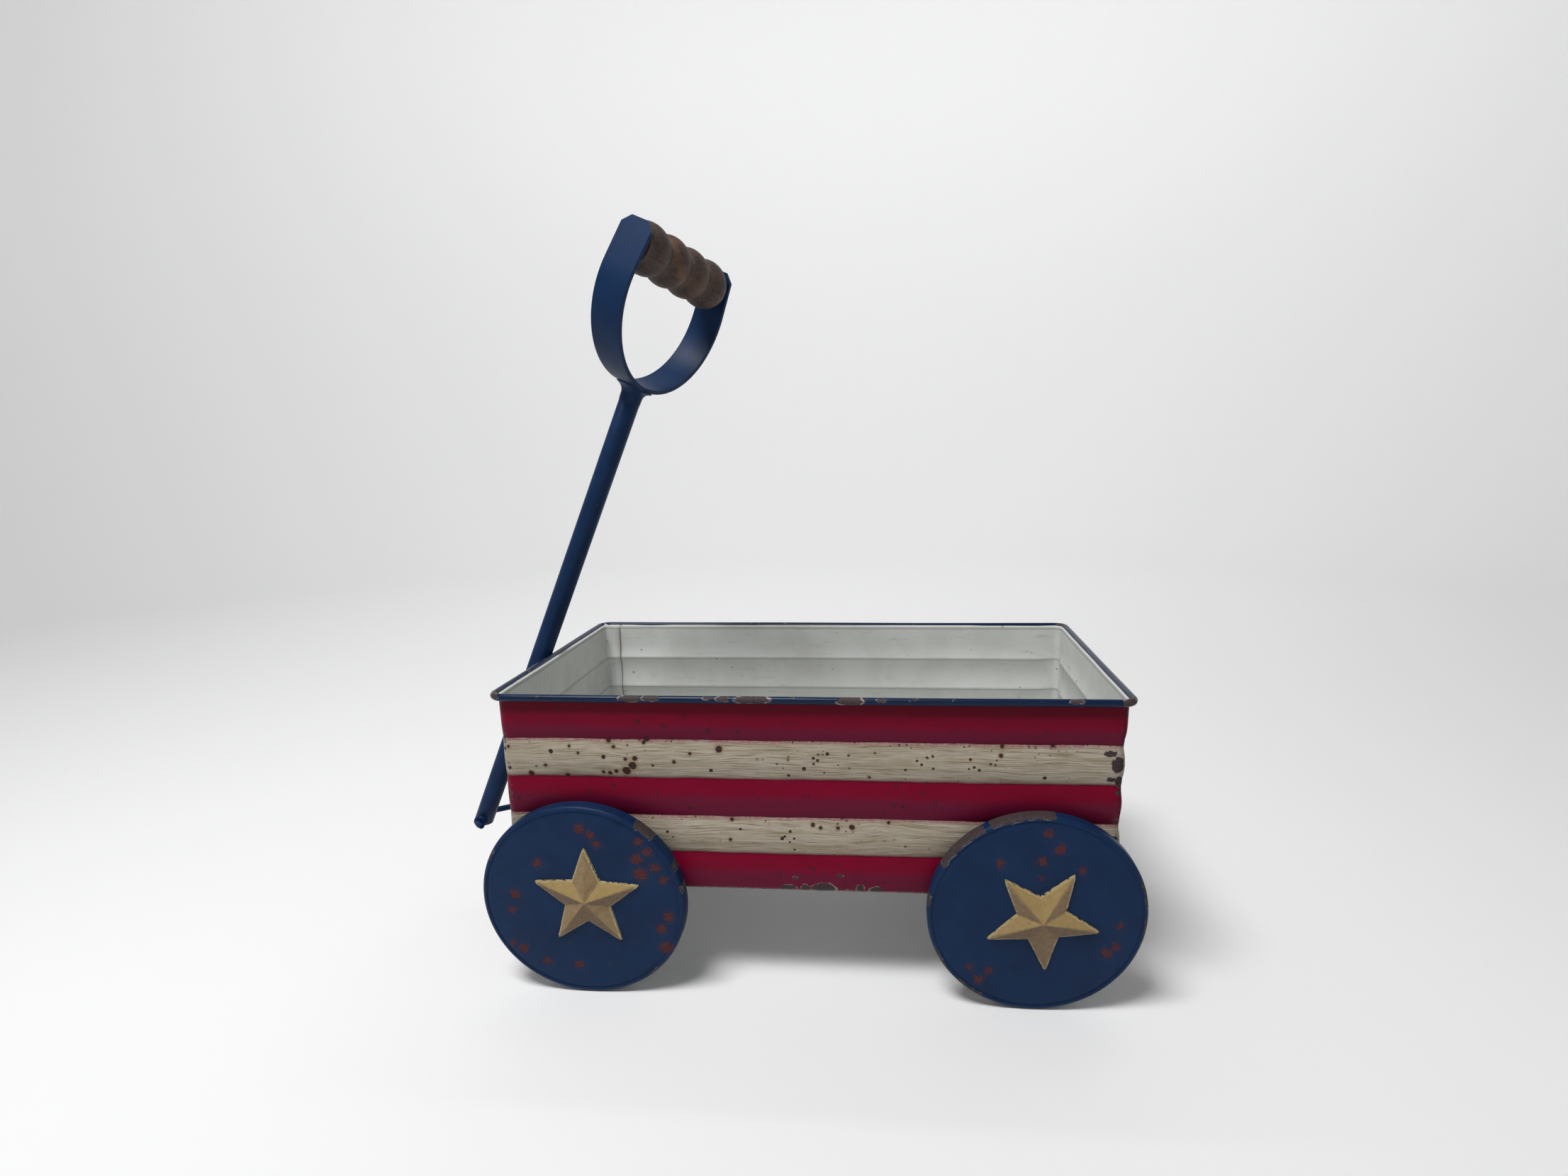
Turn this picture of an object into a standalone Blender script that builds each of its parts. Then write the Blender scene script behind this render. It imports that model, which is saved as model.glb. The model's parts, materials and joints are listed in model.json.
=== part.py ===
"""A small painted sheet-metal wagon with a pull handle, built as separate pieces.

The wagon's front, with the hitch and the handle, is at -X. Its left side is at -Y, and it stands on
z = 0. Everything hangs from the empty wagon_frame, and each moving group from an empty on its joint.
"""

import math

import bmesh
import bpy
from mathutils import Vector

# Clearance between pieces that touch, are welded together or run in each other.
GAP = 0.0003

# Box: sizes between the centre lines of the rolled rim, and five outward ribs below it.
RIM_LENGTH = 0.320
RIM_WIDTH = 0.181
RIM_CORNER_RADIUS = 0.0070
SHEET = 0.0008
BAND_COUNT = 5
BAND_HEIGHT = 0.0210
BAND_BULGE = 0.0016
BAND_SKEW = 1.10
BAND_STEPS = 6
SEAM_TAB_LENGTH = 0.0080
SEAM_BEND_RADIUS = 0.0015
CORNER_STEPS = 4

# Rolled rim: a wire with a strip rolled over it and over the top edge of the sheets.
RIM_WIRE_RADIUS = 0.0012
RIM_STRIP = 0.0006
RIM_OVERHANG = 0.0036
RIM_DROP = 0.0016
RIM_LIP_HEIGHT = 0.0026
RIM_SHOULDER = 0.0016

# Floor: a flat pan whose edge is turned down inside the walls.
FLOOR_SHEET = 0.0010
FLOOR_HEIGHT = 0.0060
FLOOR_FLANGE_END = 0.0005

# Wheels, axles and what holds them.
WHEEL_RADIUS = 0.0550
WHEEL_DEPTH = 0.0081
WHEEL_SHEET = 0.0010
WHEEL_LIP = 0.0030
WHEEL_GROOVE = 0.0005
WHEEL_GROOVE_FROM_LIP = 0.0012
WHEEL_GROOVE_WIDTH = 0.0008
WHEEL_STEPS = 56
WHEEL_BASE = 0.2360
WHEEL_FACE_OUTSIDE_RIM = 0.0110
AXLE_RADIUS = 0.0025
AXLE_BELOW_BOX = 0.0032
HUB_RADIUS = 0.0048
HUB_WALL_GAP = 0.0008
HANGER_STRIP = 0.0012
HANGER_WIDTH = 0.0100
HANGER_EAR = 0.0080
HANGER_FROM_WALL = 0.0070
STAR_TIP_RADIUS = 0.0302
STAR_NOTCH_RADIUS = 0.0127
STAR_EDGE = 0.0007
STAR_PEAK = 0.0065
STAR_TURNS = {"front": math.radians(89.0), "rear": math.radians(-84.0)}

# Hitch: a wire hook that is the handle's pin, held by its right leg under the box.
HITCH_REACH = 0.0590
HITCH_WIRE_RADIUS = 0.0020
HITCH_BEND_RADIUS = 0.0045
HITCH_END_LENGTH = 0.0060
HITCH_STUB_LENGTH = 0.0035

# Handle: a tube on a cross sleeve, with a bent strap yoke and a wooden bead grip.
SLEEVE_WALL = 0.0016
SLEEVE_LENGTH = 0.0160
TUBE_RADIUS = 0.00575
TUBE_WALL = 0.0010
TUBE_BELOW_PIN = 0.0060
TUBE_LENGTH = 0.2874
YOKE_RADIUS = 0.0450
YOKE_STRAP = 0.0022
YOKE_STRAP_WIDTH = 0.0190
YOKE_LEG_LEAN = math.radians(10.8)
YOKE_END = 0.0760
YOKE_CLIP = 0.0045
YOKE_TWIST = math.radians(-20.0)
YOKE_STEPS = 40
YOKE_WELD_HEIGHT = 0.0080
YOKE_WELD_SPREAD = 0.0034
YOKE_WELD_EDGE = 0.0010
YOKE_WELD_TOE = 0.0004
YOKE_WELD_STEPS = 5
GRIP_HEIGHT = 0.0648
GRIP_PIN_RADIUS = 0.0025
BEAD_COUNT = 4
BEAD_RADIUS = 0.0127
BEAD_END_RADIUS = 0.0092
BEAD_STEPS = 24

# Sizes that follow from the ones above.
BOX_BOTTOM = WHEEL_RADIUS + AXLE_BELOW_BOX
RIM_HEIGHT = BOX_BOTTOM + BAND_COUNT * BAND_HEIGHT + RIM_DROP
RIM_BEAD_RADIUS = RIM_WIRE_RADIUS + GAP + RIM_STRIP
WALL_HALF_LENGTH = RIM_LENGTH / 2 - RIM_OVERHANG
WALL_HALF_WIDTH = RIM_WIDTH / 2 - RIM_OVERHANG
WALL_CORNER_RADIUS = RIM_CORNER_RADIUS - RIM_OVERHANG
WHEEL_FACE = RIM_WIDTH / 2 + WHEEL_FACE_OUTSIDE_RIM
HANGER_MIDDLE = WALL_HALF_WIDTH - SHEET - HANGER_FROM_WALL - HANGER_WIDTH / 2
HITCH_HEIGHT = BOX_BOTTOM - GAP - HITCH_WIRE_RADIUS
PIVOT_X = -(RIM_LENGTH / 2 + HITCH_REACH)
SLEEVE_RADIUS = HITCH_WIRE_RADIUS + GAP + SLEEVE_WALL


def handle_lean():
    """The angle from upright at which the handle tube comes to rest against the rim."""
    across = -RIM_LENGTH / 2 - PIVOT_X
    up = RIM_HEIGHT - HITCH_HEIGHT
    apart = TUBE_RADIUS + GAP + RIM_BEAD_RADIUS
    return math.atan2(across, up) - math.asin(apart / math.hypot(across, up))


def frame_offset():
    """The shift along X that puts the middle of the wagon's whole length at the origin."""
    lean = handle_lean()
    tube_end = TUBE_BELOW_PIN * math.sin(lean) + TUBE_RADIUS * math.cos(lean)
    front = PIVOT_X - tube_end
    rear = max(WHEEL_BASE / 2 + WHEEL_RADIUS, RIM_LENGTH / 2 + RIM_BEAD_RADIUS)
    return -(front + rear) / 2


# Scene, materials and objects


def clear_scene():
    for obj in list(bpy.data.objects):
        bpy.data.objects.remove(obj, do_unlink=True)


def collection(name):
    made = bpy.data.collections.new(name)
    bpy.context.scene.collection.children.link(made)
    return made


def finish(name, colour, roughness, metallic=0.0):
    made = bpy.data.materials.new(name)
    made.use_nodes = True
    shader = made.node_tree.nodes["Principled BSDF"]
    shader.inputs["Base Color"].default_value = (*colour, 1.0)
    shader.inputs["Roughness"].default_value = roughness
    shader.inputs["Metallic"].default_value = metallic
    made.diffuse_color = (*colour, 1.0)
    return made


def joint_empty(name, parent, location, rotation=(0.0, 0.0, 0.0)):
    made = bpy.data.objects.new(name, None)
    made.empty_display_size = 0.02
    made.parent = parent
    made.location = location
    made.rotation_euler = rotation
    PARTS.objects.link(made)
    return made


def place(obj, parent, material, location=(0.0, 0.0, 0.0), rotation=(0.0, 0.0, 0.0)):
    obj.parent = parent
    obj.location = location
    obj.rotation_euler = rotation
    obj.data.materials.append(material)
    PARTS.objects.link(obj)
    return obj


def mesh_object(name, bm, smooth_below=40.0):
    mesh = bpy.data.meshes.new(name)
    bm.to_mesh(mesh)
    bm.free()
    mesh.shade_smooth()
    mesh.set_sharp_from_angle(angle=math.radians(smooth_below))
    return bpy.data.objects.new(name, mesh)


def solidify(obj, thickness, offset):
    shell = obj.modifiers.new("Sheet", "SOLIDIFY")
    shell.thickness = thickness
    shell.offset = offset
    shell.use_even_offset = True
    shell.use_quality_normals = True
    return shell


def cutter(name, bm, parent, location=(0.0, 0.0, 0.0), rotation=(0.0, 0.0, 0.0)):
    """A shape that only cuts others, or is joined into one of them."""
    obj = mesh_object(name, bm)
    obj.parent = parent
    obj.location = location
    obj.rotation_euler = rotation
    obj.hide_render = True
    obj.display_type = "WIRE"
    CUTTERS.objects.link(obj)
    return obj


def boolean(obj, other, operation):
    cut = obj.modifiers.new(other.name, "BOOLEAN")
    cut.operation = operation
    cut.solver = "EXACT"
    cut.object = other
    return cut


# Ways of making a shape


def sweep(points, moves):
    """Carries an open line of points through straight runs and turns about upright axes."""
    bm = bmesh.new()
    verts = [bm.verts.new(point) for point in points]
    edges = [bm.edges.new(pair) for pair in zip(verts, verts[1:])]
    for kind, where, amount in moves:
        if kind == "run":
            made = bmesh.ops.extrude_edge_only(bm, edges=edges)["geom"]
            moved = [item for item in made if isinstance(item, bmesh.types.BMVert)]
            bmesh.ops.translate(bm, verts=moved, vec=Vector(where) * amount)
        else:
            ends = {vert for edge in edges for vert in edge.verts}
            made = bmesh.ops.spin(
                bm,
                geom=[*ends, *edges],
                cent=where,
                axis=(0.0, 0.0, 1.0),
                angle=amount,
                steps=CORNER_STEPS,
                use_duplicate=False,
            )["geom_last"]
        edges = [
            item
            for item in made
            if isinstance(item, bmesh.types.BMEdge) and not item.link_faces[1:]
        ]
        edges = [edge for edge in edges if not is_side_edge(edge, points)]
    bmesh.ops.remove_doubles(bm, verts=bm.verts, dist=1e-6)
    turn_outwards(bm, 1)
    return bm


def turn_outwards(bm, axis):
    """Turns an open sheet's faces so that the one lowest along this axis faces down it."""
    bmesh.ops.recalc_face_normals(bm, faces=bm.faces)
    lowest = min(bm.faces, key=lambda face: face.calc_center_median()[axis])
    if lowest.normal[axis] > 0.0:
        bmesh.ops.reverse_faces(bm, faces=bm.faces)


def is_side_edge(edge, points):
    """True for an edge that runs along the sweep, on the first or the last point's track."""
    low, high = sorted(vert.co.z for vert in edge.verts)
    return high - low < 1e-9 and all(abs(a[2] - b[2]) > 1e-9 for a, b in zip(points, points[1:]))


def turned(name, profile, steps, smooth_below=40.0):
    """A turned piece about Z. The profile of (radius, height) runs down the outer side."""
    bm = bmesh.new()
    verts = [bm.verts.new((radius, 0.0, height)) for radius, height in profile]
    closed = profile[0][0] > 0.0
    pairs = list(zip(verts, verts[1:]))
    if closed:
        pairs.append((verts[-1], verts[0]))
    for pair in pairs:
        bm.edges.new(pair)
    obj = mesh_object(name, bm, smooth_below)
    screw = obj.modifiers.new("Turn", "SCREW")
    screw.axis = "Z"
    screw.angle = math.tau
    screw.steps = steps
    screw.render_steps = steps
    screw.use_merge_vertices = True
    screw.merge_threshold = 0.00001
    screw.use_smooth_shade = True
    return obj


def ring_profile(inner, outer, low, high):
    return [(outer, high), (outer, low), (inner, low), (inner, high)]


def rod(radius, length, sides=24):
    """A round bar about Z, centred on the origin."""
    bm = bmesh.new()
    bmesh.ops.create_cone(
        bm,
        cap_ends=True,
        segments=sides,
        radius1=radius,
        radius2=radius,
        depth=length,
    )
    return bm


def box(size, middle):
    bm = bmesh.new()
    bmesh.ops.create_cube(bm, size=1.0)
    bmesh.ops.scale(bm, verts=bm.verts, vec=size)
    bmesh.ops.translate(bm, verts=bm.verts, vec=middle)
    return bm


def arc(middle, radius, start, end, steps):
    """Points (a, b) round an arc, both ends included, with angles in radians."""
    angles = [start + (end - start) * step / steps for step in range(steps + 1)]
    return [
        (middle[0] + radius * math.cos(angle), middle[1] + radius * math.sin(angle))
        for angle in angles
    ]


# Box


def wall_profile():
    """(outward, height) down one wall: a plain top edge, then one skewed bulge for each band."""
    line = [(0.0, RIM_HEIGHT - GAP)]
    for band in range(BAND_COUNT):
        top = BOX_BOTTOM + (BAND_COUNT - band) * BAND_HEIGHT
        for step in range(BAND_STEPS):
            down = step / BAND_STEPS
            bulge = BAND_BULGE * math.sin(math.pi * down**BAND_SKEW)
            line.append((bulge, top - down * BAND_HEIGHT))
    line.append((0.0, BOX_BOTTOM))
    return line


def body_sheet(name, half_turn, material):
    """An L-shaped ribbed sheet: a long side, a folded corner, an end, and a seam tab past it."""
    points = [
        (WALL_HALF_LENGTH, -WALL_HALF_WIDTH - outward, height)
        for outward, height in wall_profile()
    ]
    corner = WALL_CORNER_RADIUS
    bend = SEAM_BEND_RADIUS
    tab_line = WALL_HALF_WIDTH - SHEET - GAP
    quarter = math.radians(-90.0)
    side_run = 2 * WALL_HALF_LENGTH - corner
    end_run = tab_line - bend + WALL_HALF_WIDTH - corner
    moves = [
        ("run", (-1.0, 0.0, 0.0), side_run),
        ("turn", (corner - WALL_HALF_LENGTH, corner - WALL_HALF_WIDTH, 0.0), quarter),
        ("run", (0.0, 1.0, 0.0), end_run),
        ("turn", (bend - WALL_HALF_LENGTH, tab_line - bend, 0.0), quarter),
        ("run", (1.0, 0.0, 0.0), SEAM_TAB_LENGTH),
    ]
    obj = mesh_object(name, sweep(points, moves), 18.0)
    solidify(obj, SHEET, -1.0)
    clip_low = RIM_HEIGHT - RIM_LIP_HEIGHT - 2 * GAP
    clip_start = bend - WALL_HALF_LENGTH
    clip_size = (2 * SEAM_TAB_LENGTH, 4 * (SHEET + BAND_BULGE), RIM_LIP_HEIGHT * 2)
    middle = (clip_start + SEAM_TAB_LENGTH, tab_line, clip_low + RIM_LIP_HEIGHT)
    clip = cutter(f"tab_clip_{name}", box(clip_size, middle), WAGON, rotation=(0, 0, half_turn))
    boolean(obj, clip, "DIFFERENCE")
    return place(obj, WAGON, material, rotation=(0.0, 0.0, half_turn))


def rim_moves():
    """Round the rim once, clockwise from above, from the rear end of the left side."""
    half_length = RIM_LENGTH / 2 - RIM_CORNER_RADIUS
    half_width = RIM_WIDTH / 2 - RIM_CORNER_RADIUS
    quarter = math.radians(-90.0)
    return [
        ("run", (-1.0, 0.0, 0.0), 2 * half_length),
        ("turn", (-half_length, -half_width, 0.0), quarter),
        ("run", (0.0, 1.0, 0.0), 2 * half_width),
        ("turn", (-half_length, half_width, 0.0), quarter),
        ("run", (1.0, 0.0, 0.0), 2 * half_length),
        ("turn", (half_length, half_width, 0.0), quarter),
        ("run", (0.0, -1.0, 0.0), 2 * half_width),
        ("turn", (half_length, -half_width, 0.0), quarter),
    ]


def rim_roll(material):
    """The rolled strip: down inside the wall, over its top edge and round the wire."""
    roll = RIM_WIRE_RADIUS + GAP + RIM_STRIP / 2
    inside = -(RIM_OVERHANG + SHEET + GAP + RIM_STRIP / 2)
    bend = (inside + RIM_SHOULDER, -RIM_SHOULDER / 2)
    line = [(inside, -RIM_LIP_HEIGHT - GAP), (inside, bend[1])]
    line += arc(bend, RIM_SHOULDER, math.pi, math.radians(110), 4)[1:]
    line += arc((0.0, 0.0), roll, math.radians(100), math.radians(-165), 9)
    start = RIM_LENGTH / 2 - RIM_CORNER_RADIUS
    points = [(start, -RIM_WIDTH / 2 - outward, RIM_HEIGHT + up) for outward, up in line]
    obj = mesh_object("rim_roll", sweep(points, rim_moves()))
    solidify(obj, RIM_STRIP, 0.0)
    return place(obj, WAGON, material)


def closed_wire(name, radius, outline, height, material):
    """A round wire along a closed outline of (x, y)."""
    curve = bpy.data.curves.new(name, "CURVE")
    curve.dimensions = "3D"
    curve.bevel_depth = radius
    curve.bevel_resolution = 1
    spline = curve.splines.new("POLY")
    spline.points.add(len(outline) - 1)
    for point, (x, y) in zip(spline.points, outline):
        point.co = (x, y, height, 1.0)
    spline.use_cyclic_u = True
    return place(bpy.data.objects.new(name, curve), WAGON, material)


def rounded_outline(half_length, half_width, radius):
    outline = []
    for quarter, (sx, sy) in enumerate([(1, 1), (-1, 1), (-1, -1), (1, -1)]):
        middle = (sx * (half_length - radius), sy * (half_width - radius))
        start = quarter * math.pi / 2
        outline += arc(middle, radius, start, start + math.pi / 2, CORNER_STEPS)
    return outline


def floor_pan(material):
    """A flat floor with its edge turned down, and two corners cut away for the seam tabs."""
    inset = SHEET + GAP
    half_length = WALL_HALF_LENGTH - inset
    half_width = WALL_HALF_WIDTH - inset
    top = BOX_BOTTOM + FLOOR_HEIGHT
    bm = bmesh.new()
    outline = rounded_outline(half_length, half_width, WALL_CORNER_RADIUS - inset)
    bm.faces.new([bm.verts.new((x, y, top)) for x, y in outline])
    skirt = bmesh.ops.extrude_edge_only(bm, edges=list(bm.edges))["geom"]
    lower = [item for item in skirt if isinstance(item, bmesh.types.BMVert)]
    drop = FLOOR_HEIGHT - FLOOR_FLANGE_END
    bmesh.ops.translate(bm, verts=lower, vec=(0.0, 0.0, -drop))
    turn_outwards(bm, 1)
    obj = mesh_object("floor_pan", bm)
    solidify(obj, FLOOR_SHEET, -1.0)
    place(obj, WAGON, material)
    notch_length = SEAM_TAB_LENGTH + SEAM_BEND_RADIUS + 2 * GAP
    for name, side in (("rear_left", 1.0), ("front_right", -1.0)):
        middle = (side * half_length, -side * half_width, top)
        notch = box((2 * notch_length, 2 * (SHEET + 2 * GAP), 4 * FLOOR_HEIGHT), middle)
        boolean(obj, cutter(f"floor_notch_{name}", notch, WAGON), "DIFFERENCE")
    return obj


# Wheels and axles


def wheel_profile():
    """(radius, height) of a pressed disc, from its middle out over the lip and back inside."""
    lip = WHEEL_LIP
    groove = WHEEL_RADIUS - lip - WHEEL_GROOVE_FROM_LIP
    line = [(0.0, 0.0), (groove - WHEEL_GROOVE_WIDTH, 0.0), (groove, -WHEEL_GROOVE)]
    line += arc((WHEEL_RADIUS - lip, -lip), lip, math.radians(100), 0.0, 5)
    line += [(WHEEL_RADIUS, -WHEEL_DEPTH)]
    inner = WHEEL_RADIUS - WHEEL_SHEET
    line += [(inner, -WHEEL_DEPTH), (inner, -lip)]
    line += [(inner - lip + WHEEL_SHEET, -WHEEL_SHEET - WHEEL_GROOVE)]
    line += [(0.0, -WHEEL_SHEET - WHEEL_GROOVE)]
    return line


def star_bump():
    """A five-pointed ridged star whose foot is sunk into the wheel's face."""
    bm = bmesh.new()
    corners = []
    for point in range(10):
        radius = STAR_NOTCH_RADIUS if point % 2 else STAR_TIP_RADIUS
        angle = point * math.pi / 5
        corners.append((radius * math.cos(angle), radius * math.sin(angle), -WHEEL_SHEET / 2))
    foot = bm.faces.new([bm.verts.new(corner) for corner in corners])
    made = bmesh.ops.extrude_face_region(bm, geom=[foot])["geom"]
    raised = [item for item in made if isinstance(item, bmesh.types.BMVert)]
    bmesh.ops.translate(bm, verts=raised, vec=(0.0, 0.0, WHEEL_SHEET / 2 + STAR_EDGE))
    top = [item for item in made if isinstance(item, bmesh.types.BMFace)]
    peak = bmesh.ops.poke(bm, faces=top)["verts"]
    bmesh.ops.translate(bm, verts=peak, vec=(0.0, 0.0, STAR_PEAK - STAR_EDGE))
    bmesh.ops.recalc_face_normals(bm, faces=bm.faces)
    return bm


def wheelset(end, x, paint, steel):
    """An axle with a pressed wheel and a hub collar at each end, turning as one."""
    axis = joint_empty(f"{end}_axle_line", WAGON, (x, 0.0, WHEEL_RADIUS))
    across = (math.radians(90.0), 0.0, 0.0)
    axle_half = WHEEL_FACE - WHEEL_SHEET - WHEEL_GROOVE - GAP
    axle = mesh_object(f"axle_{end}", rod(AXLE_RADIUS, 2 * axle_half))
    place(axle, axis, steel, rotation=across)
    hub_inner = WALL_HALF_WIDTH + HUB_WALL_GAP
    for side, sign in (("left", -1.0), ("right", 1.0)):
        turn = across if sign < 0.0 else (-across[0], 0.0, 0.0)
        face = (0.0, sign * WHEEL_FACE, 0.0)
        wheel = turned(f"wheel_{end}_{side}", wheel_profile(), WHEEL_STEPS)
        place(wheel, axis, paint, face, turn)
        star = cutter(f"star_{end}_{side}", star_bump(), axis, face, turn)
        star.rotation_euler.rotate_axis("Z", STAR_TURNS[end])
        boolean(wheel, star, "UNION")
        profile = ring_profile(AXLE_RADIUS + GAP, HUB_RADIUS, hub_inner, axle_half)
        hub = turned(f"hub_{end}_{side}", profile, 24)
        place(hub, axis, steel, rotation=(-sign * across[0], 0.0, 0.0))
        hanger(f"hanger_{end}_{side}", x, sign * HANGER_MIDDLE, steel)


def hanger(name, x, y, material):
    """A strip bent into a saddle: two ears against the floor and a loop under the axle."""
    ear = BOX_BOTTOM + FLOOR_HEIGHT - FLOOR_SHEET - GAP
    inner = AXLE_RADIUS + GAP
    line = [(-inner - HANGER_STRIP - HANGER_EAR, ear), (-inner, ear)]
    line += arc((0.0, WHEEL_RADIUS), inner, math.pi, math.tau, 12)
    line += [(inner, ear), (inner + HANGER_STRIP + HANGER_EAR, ear)]
    bm = bmesh.new()
    verts = [bm.verts.new((px, -HANGER_WIDTH / 2, pz)) for px, pz in line]
    edges = [bm.edges.new(pair) for pair in zip(verts, verts[1:])]
    made = bmesh.ops.extrude_edge_only(bm, edges=edges)["geom"]
    moved = [item for item in made if isinstance(item, bmesh.types.BMVert)]
    bmesh.ops.translate(bm, verts=moved, vec=(0.0, HANGER_WIDTH, 0.0))
    turn_outwards(bm, 2)
    obj = mesh_object(name, bm)
    solidify(obj, HANGER_STRIP, 1.0)
    return place(obj, WAGON, material, (x, y, 0.0))


# Hitch and handle


def hitch_line():
    """(x, y) along the bent wire, from its cut left end round the pin to the right hanger."""
    bend = HITCH_BEND_RADIUS
    end_x = -(WHEEL_BASE / 2 + AXLE_RADIUS + GAP + HANGER_STRIP + GAP)
    knee = (end_x - HITCH_END_LENGTH, HANGER_MIDDLE)
    pin_end = SLEEVE_LENGTH / 2 + GAP
    # The leg leaves the pin's bend at the angle that carries it straight to the knee.
    angle = math.radians(45.0)
    for _ in range(40):
        start = (PIVOT_X + bend * (1 - math.sin(angle)), pin_end + bend * math.cos(angle))
        angle = math.atan2(knee[1] - start[1], knee[0] - start[0])
    outward = arc((PIVOT_X + bend, pin_end), bend, math.pi, math.pi / 2 + angle, 5)
    leg = [*outward, knee, (end_x, HANGER_MIDDLE)]
    # The left end is cut off just past its bend, along the same angle as the right leg.
    cut_end = (
        outward[-1][0] + HITCH_STUB_LENGTH * math.cos(angle),
        outward[-1][1] + HITCH_STUB_LENGTH * math.sin(angle),
    )
    return [(x, -y) for x, y in reversed([*outward, cut_end])] + leg


def hitch_wire(material):
    line = hitch_line()
    curve = bpy.data.curves.new("hitch_wire", "CURVE")
    curve.dimensions = "3D"
    curve.bevel_depth = HITCH_WIRE_RADIUS
    curve.bevel_resolution = 3
    curve.use_fill_caps = True
    spline = curve.splines.new("POLY")
    spline.points.add(len(line) - 1)
    for point, (x, y) in zip(spline.points, line):
        point.co = (x, y, HITCH_HEIGHT, 1.0)
    return place(bpy.data.objects.new("hitch_wire", curve), WAGON, material)


def pull_tube(pivot, material):
    profile = ring_profile(TUBE_RADIUS - TUBE_WALL, TUBE_RADIUS, -TUBE_BELOW_PIN, TUBE_LENGTH)
    tube = place(turned("pull_tube", profile, 32), pivot, material)
    hole = rod(SLEEVE_RADIUS + GAP, 4 * TUBE_RADIUS)
    drill = cutter("tube_cross_hole", hole, pivot, rotation=(math.radians(90.0), 0.0, 0.0))
    boolean(tube, drill, "DIFFERENCE")
    return tube


def pivot_sleeve(pivot, material):
    half = SLEEVE_LENGTH / 2
    profile = ring_profile(HITCH_WIRE_RADIUS + GAP, SLEEVE_RADIUS, -half, half)
    sleeve = turned("pivot_sleeve", profile, 24)
    return place(sleeve, pivot, material, rotation=(math.radians(90.0), 0.0, 0.0))


def leg_span(height, inset=0.0):
    """Half the width between the yoke's leaning legs, at this height over its outer bottom."""
    lean = YOKE_LEG_LEAN
    middle = YOKE_RADIUS
    rise = height - middle - YOKE_RADIUS * math.sin(lean)
    return YOKE_RADIUS * math.cos(lean) - rise * math.tan(lean) - inset / math.cos(lean)


def yoke_strap(yoke, material):
    """A flat strap bent to a round bottom and two legs that lean in, with clipped ends."""
    lean = YOKE_LEG_LEAN
    line = arc((0.0, YOKE_RADIUS), YOKE_RADIUS, math.pi - lean, math.tau + lean, YOKE_STEPS)
    line = [(-leg_span(YOKE_END), YOKE_END), *line, (leg_span(YOKE_END), YOKE_END)]
    bm = bmesh.new()
    verts = [bm.verts.new((-YOKE_STRAP_WIDTH / 2, y, z)) for y, z in line]
    edges = [bm.edges.new(pair) for pair in zip(verts, verts[1:])]
    made = bmesh.ops.extrude_edge_only(bm, edges=edges)["geom"]
    moved = [item for item in made if isinstance(item, bmesh.types.BMVert)]
    bmesh.ops.translate(bm, verts=moved, vec=(YOKE_STRAP_WIDTH, 0.0, 0.0))
    tips = [vert for vert in bm.verts if vert.co.z > YOKE_END - GAP]
    bmesh.ops.bevel(
        bm,
        geom=tips,
        offset=YOKE_CLIP,
        segments=1,
        affect="VERTICES",
    )
    turn_outwards(bm, 2)
    obj = mesh_object("yoke_strap", bm)
    solidify(obj, YOKE_STRAP, -1.0)
    return place(obj, yoke, material)


def yoke_weld(yoke, material):
    """The weld that flares out from the top of the tube under the yoke."""
    inner = TUBE_RADIUS + GAP
    toe = inner + YOKE_WELD_TOE
    drop = YOKE_WELD_HEIGHT - YOKE_WELD_EDGE
    line = [(toe + YOKE_WELD_SPREAD, -GAP)]
    for step in range(YOKE_WELD_STEPS + 1):
        turn = math.pi / 2 * step / YOKE_WELD_STEPS
        out = YOKE_WELD_SPREAD * (1 - math.sin(turn))
        line.append((toe + out, -YOKE_WELD_EDGE - drop * (1 - math.cos(turn))))
    line += [(inner, -YOKE_WELD_HEIGHT), (inner, -GAP)]
    return place(turned("yoke_weld", line, 24), yoke, material)


def bead_profile(half_length):
    bore = GRIP_PIN_RADIUS + GAP
    steps = 8
    line = []
    for step in range(steps + 1):
        share = 1 - 2 * step / steps
        crown = math.sqrt(1 - share * share * (1 - (BEAD_END_RADIUS / BEAD_RADIUS) ** 2))
        line.append((BEAD_RADIUS * crown, half_length * share))
    return [*line, (bore, -half_length), (bore, half_length)]


def grip(yoke, wood, steel):
    """A pin between the yoke's legs, with loose wooden beads on it."""
    lean = math.tan(YOKE_LEG_LEAN)
    across = (math.radians(90.0), 0.0, 0.0)
    axis = joint_empty("grip_axis", yoke, (0.0, 0.0, GRIP_HEIGHT))
    pin_half = leg_span(GRIP_HEIGHT, YOKE_STRAP) - GRIP_PIN_RADIUS * lean - GAP
    pin = mesh_object("grip_pin", rod(GRIP_PIN_RADIUS, 2 * pin_half))
    place(pin, axis, steel, rotation=across)
    stack_half = leg_span(GRIP_HEIGHT, YOKE_STRAP) - BEAD_END_RADIUS * lean - GAP
    length = (2 * stack_half - (BEAD_COUNT - 1) * GAP) / BEAD_COUNT
    for bead in range(BEAD_COUNT):
        middle = -stack_half + length / 2 + bead * (length + GAP)
        obj = turned(f"grip_bead_{bead + 1}", bead_profile(length / 2), BEAD_STEPS)
        place(obj, axis, wood, (0.0, middle, 0.0), across)


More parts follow.
